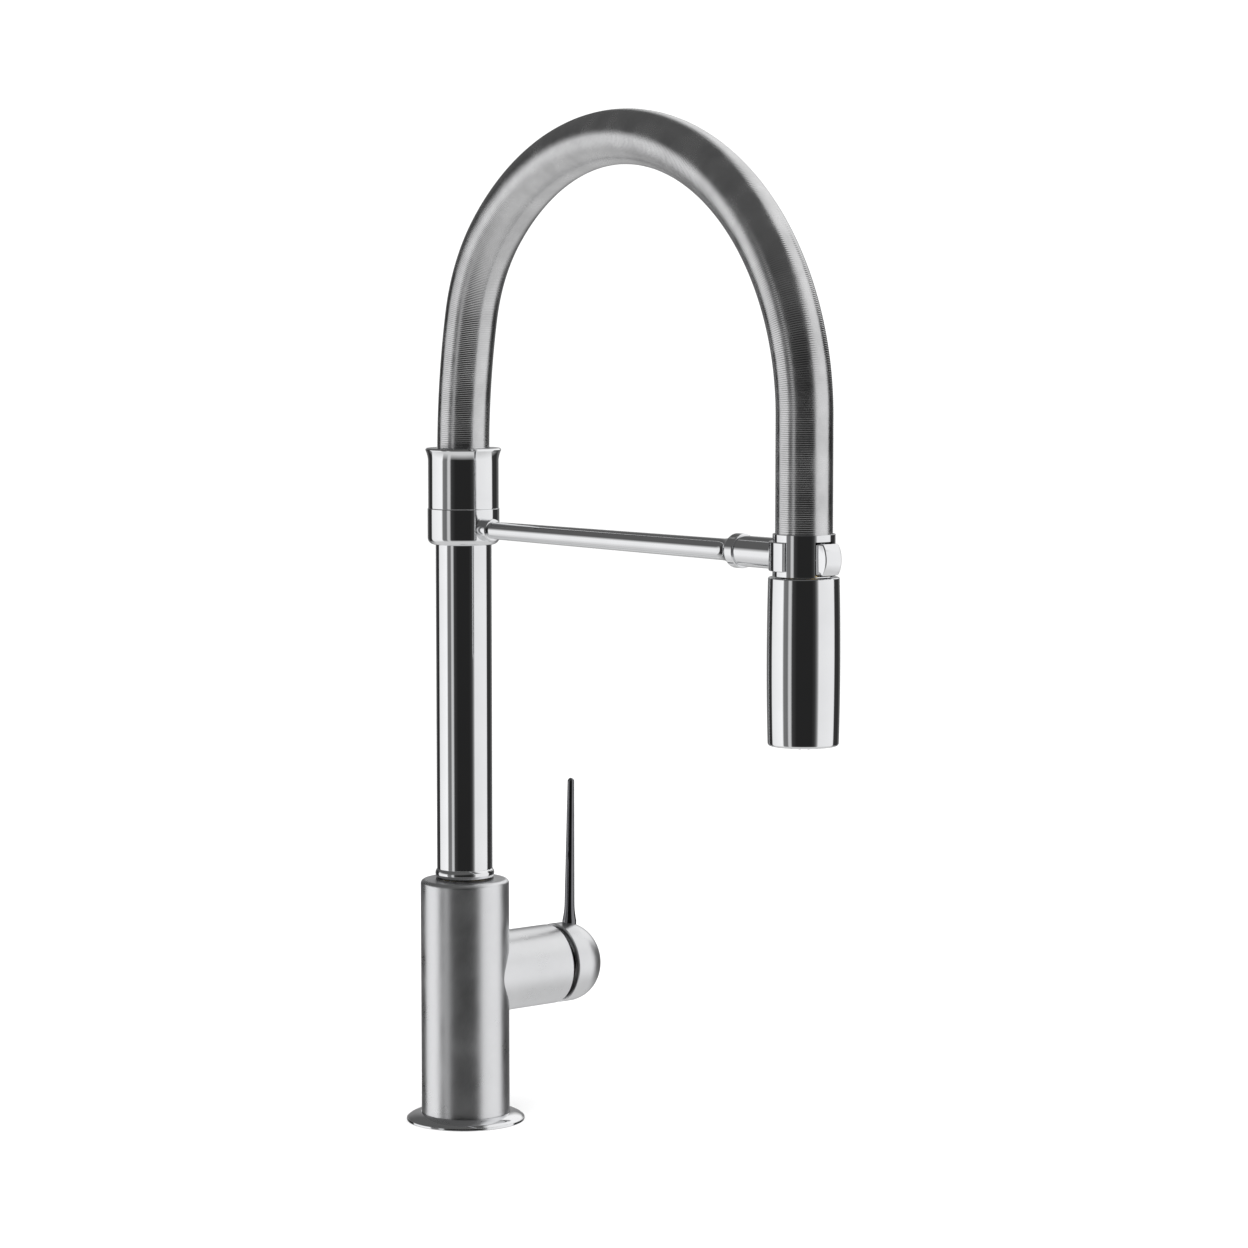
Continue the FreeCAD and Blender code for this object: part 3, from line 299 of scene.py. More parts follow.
def finish(name, colour, metallic, roughness, variation=0.05, patch=60, rough_spread=0.05, grain=1200,
           grain_depth=0.02, grain_stretch=(1, 1, 1), wear=None, specular=0.5):
    """A finish with patches of slightly different colour and gloss, a fine grain, and wear on its raised edges."""
    material = bpy.data.materials.new(name)
    tree, shader = nodes_of(material)
    shader.inputs["Metallic"].default_value = metallic
    shader.inputs["Specular IOR Level"].default_value = specular
    place = tree.nodes.new("ShaderNodeTexCoord").outputs["Object"]
    stretch = tree.nodes.new("ShaderNodeMapping")
    stretch.inputs["Scale"].default_value = grain_stretch
    tree.links.new(place, stretch.inputs["Vector"])
    patches = noise(tree, place, patch)
    result = blend_colour(tree, spread(tree, patches, 0, 1), shade(colour, 1 - variation),
                          shade(colour, 1 + variation))
    fine = noise(tree, stretch.outputs["Vector"], grain, 2)
    gloss = tree.nodes.new("ShaderNodeMath")
    gloss.operation = "ADD"
    tree.links.new(spread(tree, patches, roughness - rough_spread, roughness + rough_spread), gloss.inputs[0])
    tree.links.new(spread(tree, fine, -rough_spread / 2, rough_spread / 2), gloss.inputs[1])
    if wear:
        edge = tree.nodes.new("ShaderNodeNewGeometry").outputs["Pointiness"]
        mask = tree.nodes.new("ShaderNodeMath")
        mask.operation = "MULTIPLY"
        tree.links.new(spread(tree, edge, 0, 1, 0.52, 0.58), mask.inputs[0])
        tree.links.new(spread(tree, noise(tree, place, 500), 0.1, 1), mask.inputs[1])
        result = blend_colour(tree, mask.outputs[0], result, wear)
    tree.links.new(result, shader.inputs["Base Color"])
    tree.links.new(gloss.outputs[0], shader.inputs["Roughness"])
    if grain_depth:
        bump = tree.nodes.new("ShaderNodeBump")
        bump.inputs["Strength"].default_value = grain_depth
        bump.inputs["Distance"].default_value = 0.0002
        tree.links.new(fine, bump.inputs["Height"])
        tree.links.new(bump.outputs["Normal"], shader.inputs["Normal"])
    return material


def braid(name, colour, thread_colour, centre, around=10, pitch=0.006):
    """Woven cover of a hose about an upright axis: two sets of strands that cross."""
    material = bpy.data.materials.new(name)
    tree, shader = nodes_of(material)
    shader.inputs["Roughness"].default_value = 0.55
    place = tree.nodes.new("ShaderNodeTexCoord").outputs["Object"]
    parts = tree.nodes.new("ShaderNodeSeparateXYZ")
    tree.links.new(place, parts.inputs[0])

    def maths(kind, a, b=None):
        node = tree.nodes.new("ShaderNodeMath")
        node.operation = kind
        for socket, value in zip(node.inputs, (a, b)):
            if value is None:
                continue
            if hasattr(value, "links"):
                tree.links.new(value, socket)
            else:
                socket.default_value = value
        return node.outputs[0]

    turn = maths("ARCTAN2", maths("SUBTRACT", parts.outputs[1], centre), parts.outputs[0])
    turn = maths("MULTIPLY", turn, around)
    rise = maths("MULTIPLY", parts.outputs[2], 2 * math.pi / pitch)
    one = maths("SINE", maths("ADD", turn, rise))
    two = maths("SINE", maths("SUBTRACT", turn, rise))
    height = maths("ABSOLUTE", maths("MULTIPLY", one, two))
    hue = blend_colour(tree, spread(tree, noise(tree, place, 90), 0, 1), shade(colour, 0.8), shade(colour, 1.2))
    mixed = blend_colour(tree, spread(tree, height, 0, 1, 0.35, 0.8), hue, thread_colour)
    tree.links.new(mixed, shader.inputs["Base Color"])
    bump = tree.nodes.new("ShaderNodeBump")
    bump.inputs["Strength"].default_value = 0.7
    bump.inputs["Distance"].default_value = 0.0004
    tree.links.new(height, bump.inputs["Height"])
    tree.links.new(bump.outputs["Normal"], shader.inputs["Normal"])
    return material


CHROME = finish("polished_chrome", (0.86, 0.865, 0.875), 1, 0.045, variation=0.02, patch=45, rough_spread=0.02,
                grain=700, grain_depth=0.008)
# the lever's chrome gets a dark base colour: a painted dark reflection of the dark studio around it, not a darker
# metal
PAINTED_DARK_LEVER_CHROME = finish("chrome_with_painted_dark_reflection", (0.20, 0.20, 0.21), 1, 0.09, variation=0.06, patch=90, rough_spread=0.03,
               grain=900, grain_depth=0.01, grain_stretch=(1, 1, 0.2))
SATIN = finish("satin_chrome", (0.82, 0.825, 0.835), 1, 0.32, variation=0.05, patch=45, rough_spread=0.04,
               grain=1500, grain_depth=0.10)
RIBBED = finish("ribbed_steel", (0.66, 0.66, 0.665), 1, 0.22, variation=0.10, patch=70, rough_spread=0.05,
                grain=1800, grain_depth=0.05, wear=(0.66, 0.66, 0.665))
BRASS = finish("machined_brass", (0.74, 0.56, 0.27), 1, 0.24, variation=0.10, patch=110, rough_spread=0.08,
               grain=2200, grain_depth=0.08, grain_stretch=(1, 1, 6), wear=(0.86, 0.72, 0.42))
STEEL = finish("plain_steel", (0.56, 0.56, 0.57), 1, 0.30, variation=0.08, patch=90, rough_spread=0.08,
               grain=2400, grain_depth=0.08, grain_stretch=(1, 1, 5), wear=(0.75, 0.75, 0.76))
COPPER = finish("drawn_copper", (0.76, 0.40, 0.25), 1, 0.26, variation=0.16, patch=80, rough_spread=0.08,
                grain=1500, grain_depth=0.05, grain_stretch=(6, 6, 0.3))
BLACK = finish("black_plastic", (0.018, 0.018, 0.019), 0, 0.38, variation=0.25, patch=120, rough_spread=0.08,
               grain=2600, grain_depth=0.15, wear=(0.06, 0.06, 0.06))
WHITE = finish("white_plastic", (0.80, 0.80, 0.77), 0, 0.42, variation=0.03, patch=100, rough_spread=0.06,
               grain=2400, grain_depth=0.12)
GREY = finish("grey_plastic", (0.10, 0.10, 0.105), 0, 0.33, variation=0.12, patch=120, rough_spread=0.07,
              grain=2600, grain_depth=0.12, wear=(0.2, 0.2, 0.2))
CERAMIC = finish("lapped_ceramic", (0.88, 0.86, 0.81), 0, 0.16, variation=0.03, patch=160, rough_spread=0.05,
                 grain=3000, grain_depth=0.03)
RUBBER = finish("moulded_rubber", (0.032, 0.032, 0.033), 0, 0.62, variation=0.2, patch=140, rough_spread=0.08,
                grain=1900, grain_depth=0.25, wear=(0.08, 0.08, 0.08), specular=0.35)
HOSE = braid("braided_hose", (0.03, 0.03, 0.032), (0.24, 0.24, 0.25), -0.26)
LOWER_HOSE = braid("lower_braided_hose", (0.03, 0.03, 0.032), (0.24, 0.24, 0.25), 0.0)
FINISHES = {
    "chrome": CHROME, "satin_chrome": SATIN, "ribbed_steel": RIBBED, "brass": BRASS, "steel": STEEL,
    "copper": COPPER, "black_plastic": BLACK, "white_plastic": WHITE, "grey_plastic": GREY, "ceramic": CERAMIC,
    "rubber": RUBBER, "hose": HOSE,
}
SLOTS = {part["node"]: part["material_slot"] for part in frame["record"]["subparts"]}
BODY_OF = {node: body for body, nodes in frame["record"]["behaviour"]["bodies"].items() for node in nodes}

for label, node in frame["nodes"].items():
    for place in node.material_slots:
        place.link = "OBJECT"
        place.material = LOWER_HOSE if label == "lower_spray_hose" else FINISHES[SLOTS[label]]


def stands_for(item, node, *materials):
    """The item takes over the node's body and finish."""
    for material in materials or (FINISHES[SLOTS[node]],):
        item.data.materials.append(material)
    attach(item, BODY_OF[node])
    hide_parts(node)
    return item


# ---------------------------------------------------------------- deck and lower body

flange_top = high("base_flange")
body_low, body_top = low("lower_body"), high("lower_body")
edge, foot = (FLANGE_RIM, 1.4), (FLANGE_FOOT, flange_top)
flange = (rounded([(FLANGE_BORE, 0), (22, 0), (22, 1.5), (27, 1.5), (27, 0), (FLANGE_RIM, 0, 0.3), (*edge, 0.35)])
          + arc(edge, foot, 15, 10)[1:] + rounded([foot, (FLANGE_FOOT, 3.2), (FLANGE_BORE, 3.2)]))
stands_for(lathe("flange", flange, segments=160), "base_flange")

stands_for(lathe("body", rounded([
    (BODY_SEAT, body_low), (BODY_RADIUS, body_low, 0.25), (BODY_RADIUS, body_top, 2.2),
    (SWIVEL_BORE, body_top, 0.4), (SWIVEL_BORE, 98), (BODY_BORE, 98), (BODY_BORE, 12), (BODY_SEAT, 12)], 8),
    segments=160), "lower_body")

bead_low, bead_high = low("swivel_bead"), high("swivel_bead")
stands_for(lathe("bead", [(12.95, bead_low), (14.3, bead_low)] + arc((14.3, bead_low), (14.3, bead_high), 3.38, 14)
                 + [(14.3, bead_high), (12.95, bead_high)]), "swivel_bead")

# below the deck
shank_low = low("mounting_shank")
shank = ([(SHANK_BORE, shank_low), (15.4, shank_low)] + run(SHANK_RADIUS, shank_low + 0.4, -0.2, 0.375)
         + [(SHANK_RADIUS, 12), (SHANK_BORE, 12)])
stands_for(lathe("shank", shank, segments=96, shape=thread(SHANK_RADIUS, 0.55, 1.5, shank_low, -0.2), sharp=50),
           "mounting_shank")
nut_low, nut_high = low("mounting_nut"), high("mounting_nut")


def gripped(r, h, a):
    """Shape for turned(): twelve finger grips in the nut's rim."""
    notch = np.clip((np.cos(a * 12) - 0.55) / 0.3, 0, 1)
    return np.where(r > 21.5, r - 1.5 * notch, r), h


nut = lathe("nut", rounded([(NUT_BORE, nut_low, 0.5), (NUT_RADIUS, nut_low, 0.8), (NUT_RADIUS, nut_high, 0.8),
                            (NUT_BORE, nut_high, 0.5)]), segments=192, shape=gripped)
foot, head = low("jack_screws"), high("jack_screws")
jacks = []
for turn in (0, 120, 240):
    x, y = JACK_CIRCLE * math.cos(math.radians(turn)), JACK_CIRCLE * math.sin(math.radians(turn))
    carve(nut, rod_tool((x, y, nut_low - 1), "Z", 2.52, nut_high - nut_low + 2, 40))
    jacks.append(turned([(0, foot + 1.2), (1.25, foot + 1.2), (1.25, foot), (2.1, foot)]
                        + run(JACK_RADIUS, foot + 0.4, head - 0.3, 0.2) + [(2.1, head), (0, head)], (x, y, 0),
                        segments=32, shape=thread(JACK_RADIUS, 0.28, 0.8, foot, head)))
stands_for(nut, "mounting_nut")
stands_for(several("jacks", jacks, 50), "jack_screws")
for node in ("cold_inlet", "hot_inlet", "mixed_outlet"):
    lo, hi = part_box(node)
    x, y, foot = (lo[0] + hi[0]) / 2 / MM, (lo[1] + hi[1]) / 2 / MM, lo[2] / MM
    step = foot + NIPPLE_LENGTH
    pipe = lathe(node + "_pipe", [(PIPE_BORE, foot), (4.5, foot)] + run(NIPPLE_RADIUS, foot + 0.5, foot + 10, 0.25)
                 + rounded([(NIPPLE_RADIUS, foot + 10.6), (NIPPLE_RADIUS, step, 0.5), (PIPE_RADIUS, step),
                            (PIPE_RADIUS, hi[2] / MM), (PIPE_BORE, hi[2] / MM)]), (x, y, 0), segments=48,
                 shape=thread(NIPPLE_RADIUS, 0.35, 1.0, foot, foot + 10.1), sharp=50)
    stands_for(pipe, node, COPPER, BRASS)
    for face in pipe.data.polygons:
        face.material_index = 1 if face.center.z / MM < step + 0.01 else 0

# ---------------------------------------------------------------- side valve and handle

valve_z = (low("valve_barrel") + high("valve_barrel")) / 2
barrel_end = high("valve_barrel", 0)
axis_at = (0, 0, valve_z)
MARK = -999  # a height that saddle() moves onto the cylinder
barrel = [(BARREL_BORE, MARK), (BARREL_RADIUS, MARK)] + run(BARREL_RADIUS, 23.2, barrel_end - 2, 6) + rounded(
    [(BARREL_RADIUS, barrel_end - 1.9), (BARREL_RADIUS, barrel_end, 1.2), (BARREL_BORE, barrel_end, 0.3),
     (BARREL_BORE, barrel_end - 2)])
stands_for(lathe("barrel", barrel, axis_at, "X", 160, saddle(22.9, MARK)), "valve_barrel")

rim_x = barrel_end + CAP_GAP
pivot_x = rim_x - PIVOT_BEHIND_RIM
ball = math.hypot(PIVOT_BEHIND_RIM, CAP_BORE)
cap_end = high("handle_cap", 0)
seat_x = pivot_x + math.sqrt(ball ** 2 - STEM_RADIUS ** 2)
hole_end = pivot_x + ball + STEM_DEPTH
lip = (CAP_BORE, rim_x + 0.3)
shoulder, face = (BARREL_RADIUS, rim_x + CAP_STRAIGHT), (CAP_FACE, rim_x + CAP_LENGTH)
cap = ([lip, (19.2, rim_x), (20.3, rim_x)] + arc((20.3, rim_x), (BARREL_RADIUS, rim_x + 0.6), 0.6, 4)
       + [(BARREL_RADIUS, rim_x + 0.6), (BARREL_RADIUS, rim_x + 1), shoulder]
       + arc(shoulder, face, CAP_SHOULDER, 20) + [face] + arc(face, (0, cap_end), CAP_CROWN, 12)
       + [(0, cap_end), (0, hole_end), (STEM_RADIUS, hole_end), (STEM_RADIUS, seat_x)]
       + arc((STEM_RADIUS, seat_x), lip, -ball, 16))
cap_item = lathe("cap", cap, axis_at, "X", 160)
screw_x = (low("handle_set_screw", 0) + high("handle_set_screw", 0)) / 2
carve(cap_item, rod_tool((screw_x, 0, valve_z - 22), "Z", SCREW_HOLE, 17))
stands_for(cap_item, "handle_cap", SATIN)

lever_root = valve_z + BARREL_RADIUS - LEVER_FOOT
tip_at = LEVER_TOP - lever_root - LEVER_TIP
foot, waist = (LEVER_FOOT, FOOT_LENGTH), (LEVER_WAIST, WAIST_AT)
tip, top = (LEVER_TIP, tip_at), (0, tip_at + LEVER_TIP)
lever = ([(0, 0), (LEVER_FOOT, 0), foot] + arc(foot, waist, -FOOT_SWEEP, 10) + [waist]
         + [(LEVER_WAIST + (LEVER_TIP - LEVER_WAIST) * k / 12, WAIST_AT + (tip_at - WAIST_AT) * k / 12)
            for k in range(1, 12)]
         + [tip] + arc(tip, top, LEVER_TIP, 8) + [top])
lever_item = lathe("lever_rod", lever, segments=64)
lever_item.data.transform(Matrix.Translation(((rim_x + LEVER_FROM_RIM) * MM, 0, lever_root * MM))
                          @ Matrix.Rotation(math.radians(LEVER_LEAN), 4, "Y"))
# the lever takes the chrome darkened as a painted dark reflection
stands_for(lever_item, "lever", PAINTED_DARK_LEVER_CHROME)

# ---------------------------------------------------------------- post, collar, socket

post_low, sleeve_foot = low("spout_tube"), high("spout_tube")
stands_for(lathe("post", rounded([(POST_BORE, post_low), (POST_RADIUS, post_low, 0.2), (POST_RADIUS, sleeve_foot),
                                  (POST_BORE, sleeve_foot)])), "spout_tube")
collar_low, socket_low, socket_top = low("arm_collar"), low("sleeve_socket"), high("sleeve_socket")
collar_foot, collar_side = (COLLAR_RADIUS - COLLAR_ROUND, collar_low), (COLLAR_RADIUS, collar_low + COLLAR_ROUND)
collar = ([(COLLAR_BORE, collar_low), collar_foot] + arc(collar_foot, collar_side, COLLAR_ROUND, 10)
          + rounded([collar_side, (COLLAR_RADIUS, socket_low, 0.3), (COLLAR_BORE, socket_low)]))
collar_item = lathe("collar", collar, segments=160)
arm_z = (low("support_arm") + high("support_arm")) / 2
carve(collar_item, rod_tool((0, 20, arm_z), "-Y", SCREW_HOLE, 5.5))
stands_for(collar_item, "arm_collar")
flare, lip = (SOCKET_RADIUS, socket_top - FLARE), (SOCKET_LIP, socket_top - 1)
socket = (rounded([(COLLAR_BORE, socket_low), (SOCKET_RADIUS, socket_low, 0.3), flare])
          + arc(flare, lip, -FLARE_SWEEP, 10)
          + rounded([lip, (SOCKET_LIP, socket_top - 0.8, 0.15), (18.9, socket_top, 0.3),
                     (SOCKET_BORE, socket_top, 0.35), (SOCKET_BORE, sleeve_foot), (COLLAR_BORE, sleeve_foot)]))
stands_for(lathe("socket", socket, segments=160), "sleeve_socket")

# ---------------------------------------------------------------- arch

reach = -(low("wand_shell", 1) + high("wand_shell", 1)) / 2
sleeve_end = low("hose_sleeve")


def arch_line(step):
    """Middle line of the arch as (y, z, tangent angle), evenly spaced, from its foot to its free end."""
    begin = socket_top - SLEEVE_SEAT
    y, z, heading = 0.0, begin, 0.0
    legs = [("straight", begin - sleeve_foot, 0)]
    for radius, degrees in ARCH_TURNS:
        a, b = heading, heading + math.radians(degrees)
        y += radius * (math.cos(a) - math.cos(b))
        z += radius * (math.sin(b) - math.sin(a))
        legs.append(("bend", radius * (b - a), radius))
        heading = b
    bow = (reach - y) / (1 + math.cos(heading))
    legs.append(("bend", bow * (math.pi - heading), bow))
    top_of_leg = z - bow * math.sin(heading)
    legs.append(("straight", top_of_leg - sleeve_end, 0))
    total = sum(leg[1] for leg in legs)
    count = int(round(total / step))
    points = []
    for k in range(count + 1):
        rest = total * k / count
        y, z, heading = 0.0, sleeve_foot, 0.0
        for kind, length, radius in legs:
            part = min(rest, length)
            if kind == "straight":
                y += math.sin(heading) * part
                z += math.cos(heading) * part
            else:
                b = heading + part / radius
                y += radius * (math.cos(heading) - math.cos(b))
                z += radius * (math.sin(b) - math.sin(heading))
                heading = b
            rest -= part
            if rest <= 1e-9:
                break
        points.append((-y, z, heading))
    return points


line = arch_line(RIB_PITCH / RIB_RINGS)
last = len(line) - 1
segments = 40
verts, faces = [], []


def hoop(y, z, heading, radius):
    """Points of a ring about the arch's line."""
    out = []
    for k in range(segments):
        a = 2 * math.pi * k / segments
        across, side = radius * math.cos(a), radius * math.sin(a)
        out.append((across, y + side * math.cos(heading), z + side * math.sin(heading)))
    return out


for index, (y, z, heading) in enumerate(line):
    wave = 0.5 - 0.5 * math.cos(2 * math.pi * index / RIB_RINGS)
    depth = RIB_DEPTH * (1 - wave) if min(index, last - index) > PLAIN_RINGS else 0.0
    verts += hoop(y, z, heading, SLEEVE_RADIUS - depth)
for y, z, heading in [line[-1]] + line[-15:15:-25] + [line[0]]:
    verts += hoop(y, z, heading, SLEEVE_BORE)
rings = len(verts) // segments
for i in range(rings):
    j = (i + 1) % rings
    for k in range(segments):
        m = (k + 1) % segments
        faces.append((i * segments + k, i * segments + m, j * segments + m, j * segments + k))
sleeve = make("sleeve", verts, faces, sharp=70)
stands_for(sleeve, "hose_sleeve")

# ---------------------------------------------------------------- arm and dock

arm_at = (0, 0, arm_z)
root_end = -low("arm_root_ring", 1)
ring_start, stub_start = -high("arm_end_ring", 1), -low("arm_end_ring", 1)
root = [(0, MARK), (ARM_ROOT, MARK)] + rounded([(ARM_ROOT, 21), (ARM_ROOT, root_end, 0.9), (0, root_end)])
stands_for(lathe("arm_root", root, arm_at, "-Y", 96, saddle(18.45, MARK, cross="cos")), "arm_root_ring")
flare, flare_end = (ARM_END, ring_start - FLARE_LENGTH), (ARM_FLARE, ring_start)
arm = ([(0, root_end), (ARM_START, root_end)]
       + [(ARM_START + (ARM_END - ARM_START) * k / 16, root_end + (flare[1] - root_end) * k / 16)
          for k in range(1, 16)]
       + [flare] + arc(flare, flare_end, -21, 12) + [flare_end, (0, ring_start)])
stands_for(lathe("arm", arm, arm_at, "-Y", 96), "support_arm")
stands_for(lathe("arm_step", rounded([(0, ring_start), (ARM_STEP, ring_start, 0.7), (ARM_STEP, stub_start, 0.7),
                                      (0, stub_start)]), arm_at, "-Y", 96), "arm_end_ring")

# an open ring whose two ends are rounded off: its section shrinks to its middle over the last few hoops
cradle_low, cradle_high = arm_z - CRADLE_HALF, arm_z + CRADLE_HALF
section = rounded([(CRADLE_INNER, cradle_low, 0.45), (CRADLE_OUTER, cradle_low, 0.45),
                   (CRADLE_OUTER, cradle_high, 0.45), (CRADLE_INNER, cradle_high, 0.45)], 4)
steps, end_steps = 96, 4
middle, thick = (CRADLE_INNER + CRADLE_OUTER) / 2, (CRADLE_OUTER - CRADLE_INNER) / 2
hoops = []
for k in range(-end_steps, steps + end_steps + 1):
    inside = min(max(k, 0), steps)
    beyond = max(-k, k - steps, 0) / end_steps
    a = math.radians(90 - CRADLE_SWEEP / 2 + CRADLE_SWEEP * inside / steps)
    a += math.copysign(beyond * thick / middle, k - steps / 2)
    shrink = math.sqrt(max(1 - beyond ** 2, 0.02))
    hoops.append([((middle + (r - middle) * shrink) * math.cos(a),
                   -reach + (middle + (r - middle) * shrink) * math.sin(a),
                   arm_z + (z - arm_z) * (1 - 0.03 * (1 - shrink))) for r, z in section])
count = len(section)
cradle_verts = [p for ring in hoops for p in ring]
cradle_faces = [tuple(range(count))[::-1], tuple(range((len(hoops) - 1) * count, len(hoops) * count))]
for i in range(len(hoops) - 1):
    for k in range(count):
        m = (k + 1) % count
        cradle_faces.append((i * count + k, i * count + m, (i + 1) * count + m, (i + 1) * count + k))
cradle = make("cradle", cradle_verts, cradle_faces, 40)
stub = lathe("stub", rounded([(0, stub_start), (STUB_RADIUS, stub_start, 0.3), (STUB_RADIUS, stub_start + 4)])
             + [(STUB_RADIUS, MARK), (0, MARK)], arm_at, "-Y", 96, saddle(16.1, MARK, reach, "cos", -1))
carve(cradle, rod_tool((0, -(reach - 17.5), arm_z), "-Y", MAGNET_HOLE, 6), 40)
carve(stub, rod_tool((0, -(reach - 18.5), arm_z), "-Y", MAGNET_HOLE, 8))
bm = bmesh.new()
bm.from_mesh(cradle.data)
bm.from_mesh(stub.data)
bm.to_mesh(cradle.data)
bm.free()
bpy.data.objects.remove(stub)
stands_for(cradle, "dock_cradle")
magnet_back, magnet_front = -high("dock_magnet", 1), -low("dock_magnet", 1)
stands_for(lathe("magnet", rounded([(0, magnet_back), (5.4, magnet_back, 0.2), (5.4, magnet_front, 0.5),
                                    (0, magnet_front)]), arm_at, "-Y", 64), "dock_magnet")

# ---------------------------------------------------------------- hand spray

spray_at = (0, -reach, 0)
neck_low, neck_high = low("neck_collar"), high("neck_collar")
neck = lathe("neck", rounded([(NECK_BORE, neck_low), (NECK_RADIUS, neck_low, 0.35), (NECK_RADIUS, neck_high, 0.2),
                              (NECK_TOP, neck_high, 0.2), (NECK_TOP, neck_high - 3),
                              (NECK_BORE, neck_high - 3, 0.3)]), spray_at, segments=160)
toggle_z = (low("selector_toggle") + high("selector_toggle")) / 2
carve(neck, box_tool((-WINDOW_HALF, -reach - 20, toggle_z - 8), (WINDOW_HALF, -reach - 5, toggle_z + 8)))
stands_for(neck, "neck_collar")

half = (high("selector_toggle") - low("selector_toggle")) / 2
foot, head = (-TOGGLE_OUTER, -half), (-TOGGLE_OUTER, half)
side = [(-TOGGLE_INNER, -half), foot] + arc(foot, head, -TOGGLE_ROUND, 20) + [head, (-TOGGLE_INNER, half)]
bm = bmesh.new()
loops = []
for x in (-TOGGLE_HALF, TOGGLE_HALF):
    loops.append([bm.verts.new((x * MM, (y - reach) * MM, (toggle_z + z) * MM)) for y, z in side])
bm.faces.new(loops[0])
bm.faces.new(loops[1][::-1])
for k in range(len(side)):
    m = (k + 1) % len(side)
    bm.faces.new((loops[0][k], loops[1][k], loops[1][m], loops[0][m]))
bmesh.ops.recalc_face_normals(bm, faces=bm.faces)
rims = [e for e in bm.edges if e.calc_face_angle(0) > math.radians(35)]
bmesh.ops.bevel(bm, geom=rims, offset=0.0006, segments=4, profile=0.5, affect="EDGES", clamp_overlap=True)
mesh = bpy.data.meshes.new("rocker")
bm.to_mesh(mesh)
bm.free()
mesh.shade_smooth()
mesh.set_sharp_from_angle(angle=math.radians(32))
rocker = bpy.data.objects.new("rocker", mesh)
bpy.context.scene.collection.objects.link(rocker)
stands_for(rocker, "selector_toggle")

wand_low, wand_top = low("wand_shell"), high("wand_shell")
lip, foot = (WAND_LIP, wand_low), (WAND_RADIUS, wand_low + 1.3)
head, rim = (WAND_RADIUS, wand_top - 0.65), (WAND_RADIUS - 0.65, wand_top)
shell = ([(WAND_BORE, wand_low + 8), (WAND_LIP, wand_low + 8), (WAND_LIP, wand_low + 0.3), lip]
         + arc(lip, foot, 1.3, 6) + [foot] + arc(foot, head, WAND_BELLY, 24) + [head] + arc(head, rim, 0.65, 6)
         + [rim, (WAND_SOCKET, wand_top), (WAND_SOCKET, wand_top - 6.75), (WAND_BORE, wand_top - 6.75)])
stands_for(lathe("wand", shell, spray_at, segments=160), "wand_shell")

face_low, tip = low("spray_face"), low("spray_nozzles")
tips = []
for number, circle in NOZZLE_CIRCLES:
    for k in range(number):
        a = 2 * math.pi * k / number
        x, y = circle * math.cos(a), -reach + circle * math.sin(a)
        tips.append(turned(rounded([(0, tip + 0.5), (0.3, tip + 0.5), (0.35, tip, 0.08), (0.62, tip, 0.12),
                                    (0.9, face_low + 0.1), (0.9, face_low + 2), (0, face_low + 2)], 3), (x, y, 0),
                           segments=20))
stands_for(several("nozzles", tips, 50), "spray_nozzles")

aerator_low, aerator_high = low("aerator"), high("aerator")
shells = [turned(rounded([(AERATOR_BORE, aerator_low + 1.2), (AERATOR_BORE, aerator_low, 0.2),
                          (AERATOR_RADIUS, aerator_low, 0.3), (AERATOR_RADIUS, aerator_high),
                          (AERATOR_BORE, aerator_high)], 3), spray_at, segments=64),
          turned([(0, aerator_low + 1.8), (5.3, aerator_low + 1.8), (5.3, aerator_high), (0, aerator_high)],
                 spray_at, segments=48)]
for radius in AERATOR_RINGS:
    shells.append(turned([(radius - 0.18, aerator_low + 0.6), (radius + 0.18, aerator_low + 0.6),
                          (radius + 0.18, aerator_low + 1.9), (radius - 0.18, aerator_low + 1.9)], spray_at,
                         segments=48))
for k in range(6):
    a = math.pi * k / 6
    c, s = math.cos(a), math.sin(a)
    corners = []
    for along in (-5.3, 5.3):
        for across in (-0.16, 0.16):
            for z in (aerator_low + 0.6, aerator_low + 1.9):
                corners.append((along * c - across * s, -reach + along * s + across * c, z))
    shells.append((corners, BOX_FACES))
stands_for(several("aerator_insert", shells, 40), "aerator")

leg_low, leg_high = low("hose_drop_leg"), high("hose_drop_leg")
leg = lathe("drop_leg", run(HOSE_RADIUS, leg_low, leg_high, 0.6) + run(HOSE_BORE, leg_low, leg_high, 4)[::-1],
            spray_at, segments=48)
leg.data.materials.append(HOSE)
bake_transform(leg)
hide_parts("hose_drop_leg")

# ---------------------------------------------------------------- stage, camera and light

# a round floor with a hole for the shank; the profile's closing strip from rim to hole is taken off again
floor = lathe("floor", [(radius, FLOOR_LEVEL) for radius in (FLOOR_HOLE, 40, 200, 1200, 9000)], segments=96)
bm = bmesh.new()
bm.from_mesh(floor.data)
bmesh.ops.delete(bm, geom=[f for f in bm.faces if max(v.co.xy.length for v in f.verts)
                           - min(v.co.xy.length for v in f.verts) > 8.5], context="FACES")
bm.to_mesh(floor.data)
bm.free()
floor.data.materials.append(finish("pale_floor", (0.95, 0.95, 0.95), 0, 0.9, variation=0.01, patch=6,
                                   rough_spread=0.05, grain=300, grain_depth=0, specular=0))
floor.visible_glossy = False

camera_data = bpy.data.cameras.new("camera")
camera_data.lens = 109.5
camera_data.sensor_width = 36
camera_data.clip_end = 50
camera = bpy.data.objects.new("camera", camera_data)
bpy.context.scene.collection.objects.link(camera)
camera.location = (-1.1836, -1.5562, 0.4354)
pitch, yaw = math.radians(-5.145), math.radians(39.68)
ahead = Vector((math.sin(yaw) * math.cos(pitch), math.cos(yaw) * math.cos(pitch), math.sin(pitch)))
camera.rotation_euler = ahead.to_track_quat("-Z", "Y").to_euler()
bpy.context.scene.camera = camera

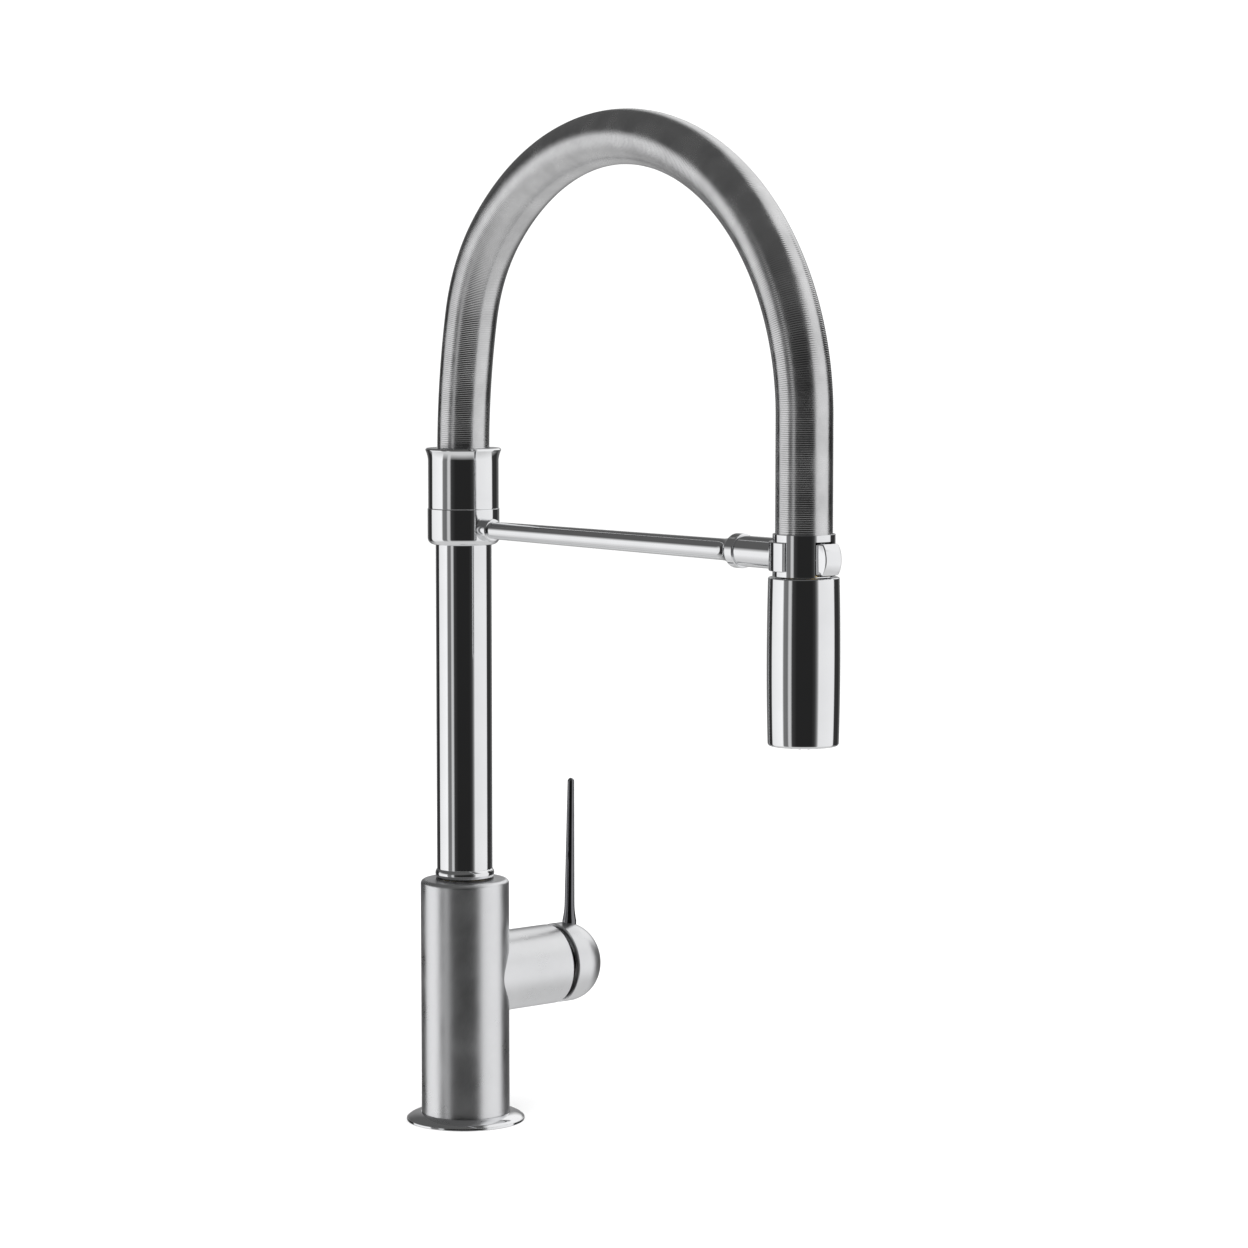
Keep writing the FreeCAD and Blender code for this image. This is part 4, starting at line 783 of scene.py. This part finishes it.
# the studio that gloss sees: dark behind the camera, a tall white panel on each side, dark above with two soft
# patches, and a pale ground; the eye and matt surfaces see plain white
TOWARDS, TO_RIGHT = (-0.6385, -0.7696, 0.0), (0.7696, -0.6385, 0.0)
PLAIN = 1.13
LAYERS = [  # measured along which way, from where to where it takes over, brightness
    ((-0.154, 0.128, 1), 0.24, 0.50, 0.11),  # above, higher up over the panel on the right
    ((0.62, -0.32, 0.71), 0.88, 0.93, 0.95),  # a patch above on the right
    ((0.78, 0.34, 0.52), 0.88, 0.95, 1.0),  # another one farther back
    ((0, 0, 1), -0.30, -0.62, 0.66),  # the ground
]
PANELS = [  # degrees from the front, brightness
    (-180, 0.30), (-150, 0.12), (-141, 0.03), (-122, 0.03), (-119, 0.90), (-72, 1.04), (-68, 0.20), (-54, 0.16),
    (-50, 0.62), (-43, 0.60), (-39, 0.05), (-24, 0.02), (24, 0.02), (33, 0.04), (38, 0.12), (43, 0.34), (47, 0.86),
    (96, 0.92), (109, 0.90), (112, 0.04), (138, 0.03), (150, 0.12), (180, 0.30),
]
world = bpy.data.worlds.new("studio")
bpy.context.scene.world = world
world.use_nodes = True
tree = world.node_tree
background = tree.nodes["Background"]
direction = tree.nodes.new("ShaderNodeTexCoord").outputs["Generated"]


def dot(vector):
    node = tree.nodes.new("ShaderNodeVectorMath")
    node.operation = "DOT_PRODUCT"
    tree.links.new(direction, node.inputs[0])
    node.inputs[1].default_value = vector
    return node.outputs["Value"]


turn = tree.nodes.new("ShaderNodeMath")
turn.operation = "ARCTAN2"
tree.links.new(dot(TO_RIGHT), turn.inputs[0])
tree.links.new(dot(TOWARDS), turn.inputs[1])
ramp = tree.nodes.new("ShaderNodeValToRGB")
while len(ramp.color_ramp.elements) > 1:
    ramp.color_ramp.elements.remove(ramp.color_ramp.elements[0])
for number, (degrees, level) in enumerate(PANELS):
    place = ramp.color_ramp.elements[0] if number == 0 else ramp.color_ramp.elements.new((degrees + 180) / 360)
    place.position = (degrees + 180) / 360
    place.color = (level, level, level * 1.005, 1)
tree.links.new(spread(tree, turn.outputs[0], 0, 1, -math.pi, math.pi), ramp.inputs["Fac"])
look = ramp.outputs["Color"]
for way, begins, full, level in LAYERS:
    look = blend_colour(tree, spread(tree, dot(way), 0, 1, begins, full), look, (level, level, level))
rays = tree.nodes.new("ShaderNodeLightPath")
plain = tree.nodes.new("ShaderNodeMath")
plain.operation = "MAXIMUM"
tree.links.new(rays.outputs["Is Camera Ray"], plain.inputs[0])
tree.links.new(rays.outputs["Is Diffuse Ray"], plain.inputs[1])
tree.links.new(blend_colour(tree, plain.outputs[0], look, (PLAIN, PLAIN, PLAIN)), background.inputs["Color"])

for name, place, size, power in (("key", (-1.2, -0.6, 1.7), 1.6, 16), ("fill", (0.9, -1.3, 1.2), 1.6, 8)):
    light_data = bpy.data.lights.new(name, "AREA")
    light_data.shape = "SQUARE"
    light_data.size = size
    light_data.energy = power
    light = bpy.data.objects.new(name, light_data)
    bpy.context.scene.collection.objects.link(light)
    light.location = place
    light.rotation_euler = (Vector((0, -0.1, 0.1)) - Vector(place)).to_track_quat("-Z", "Y").to_euler()
    light.visible_glossy = False

bpy.context.scene.view_settings.view_transform = "Standard"
bpy.context.scene.view_settings.look = "None"
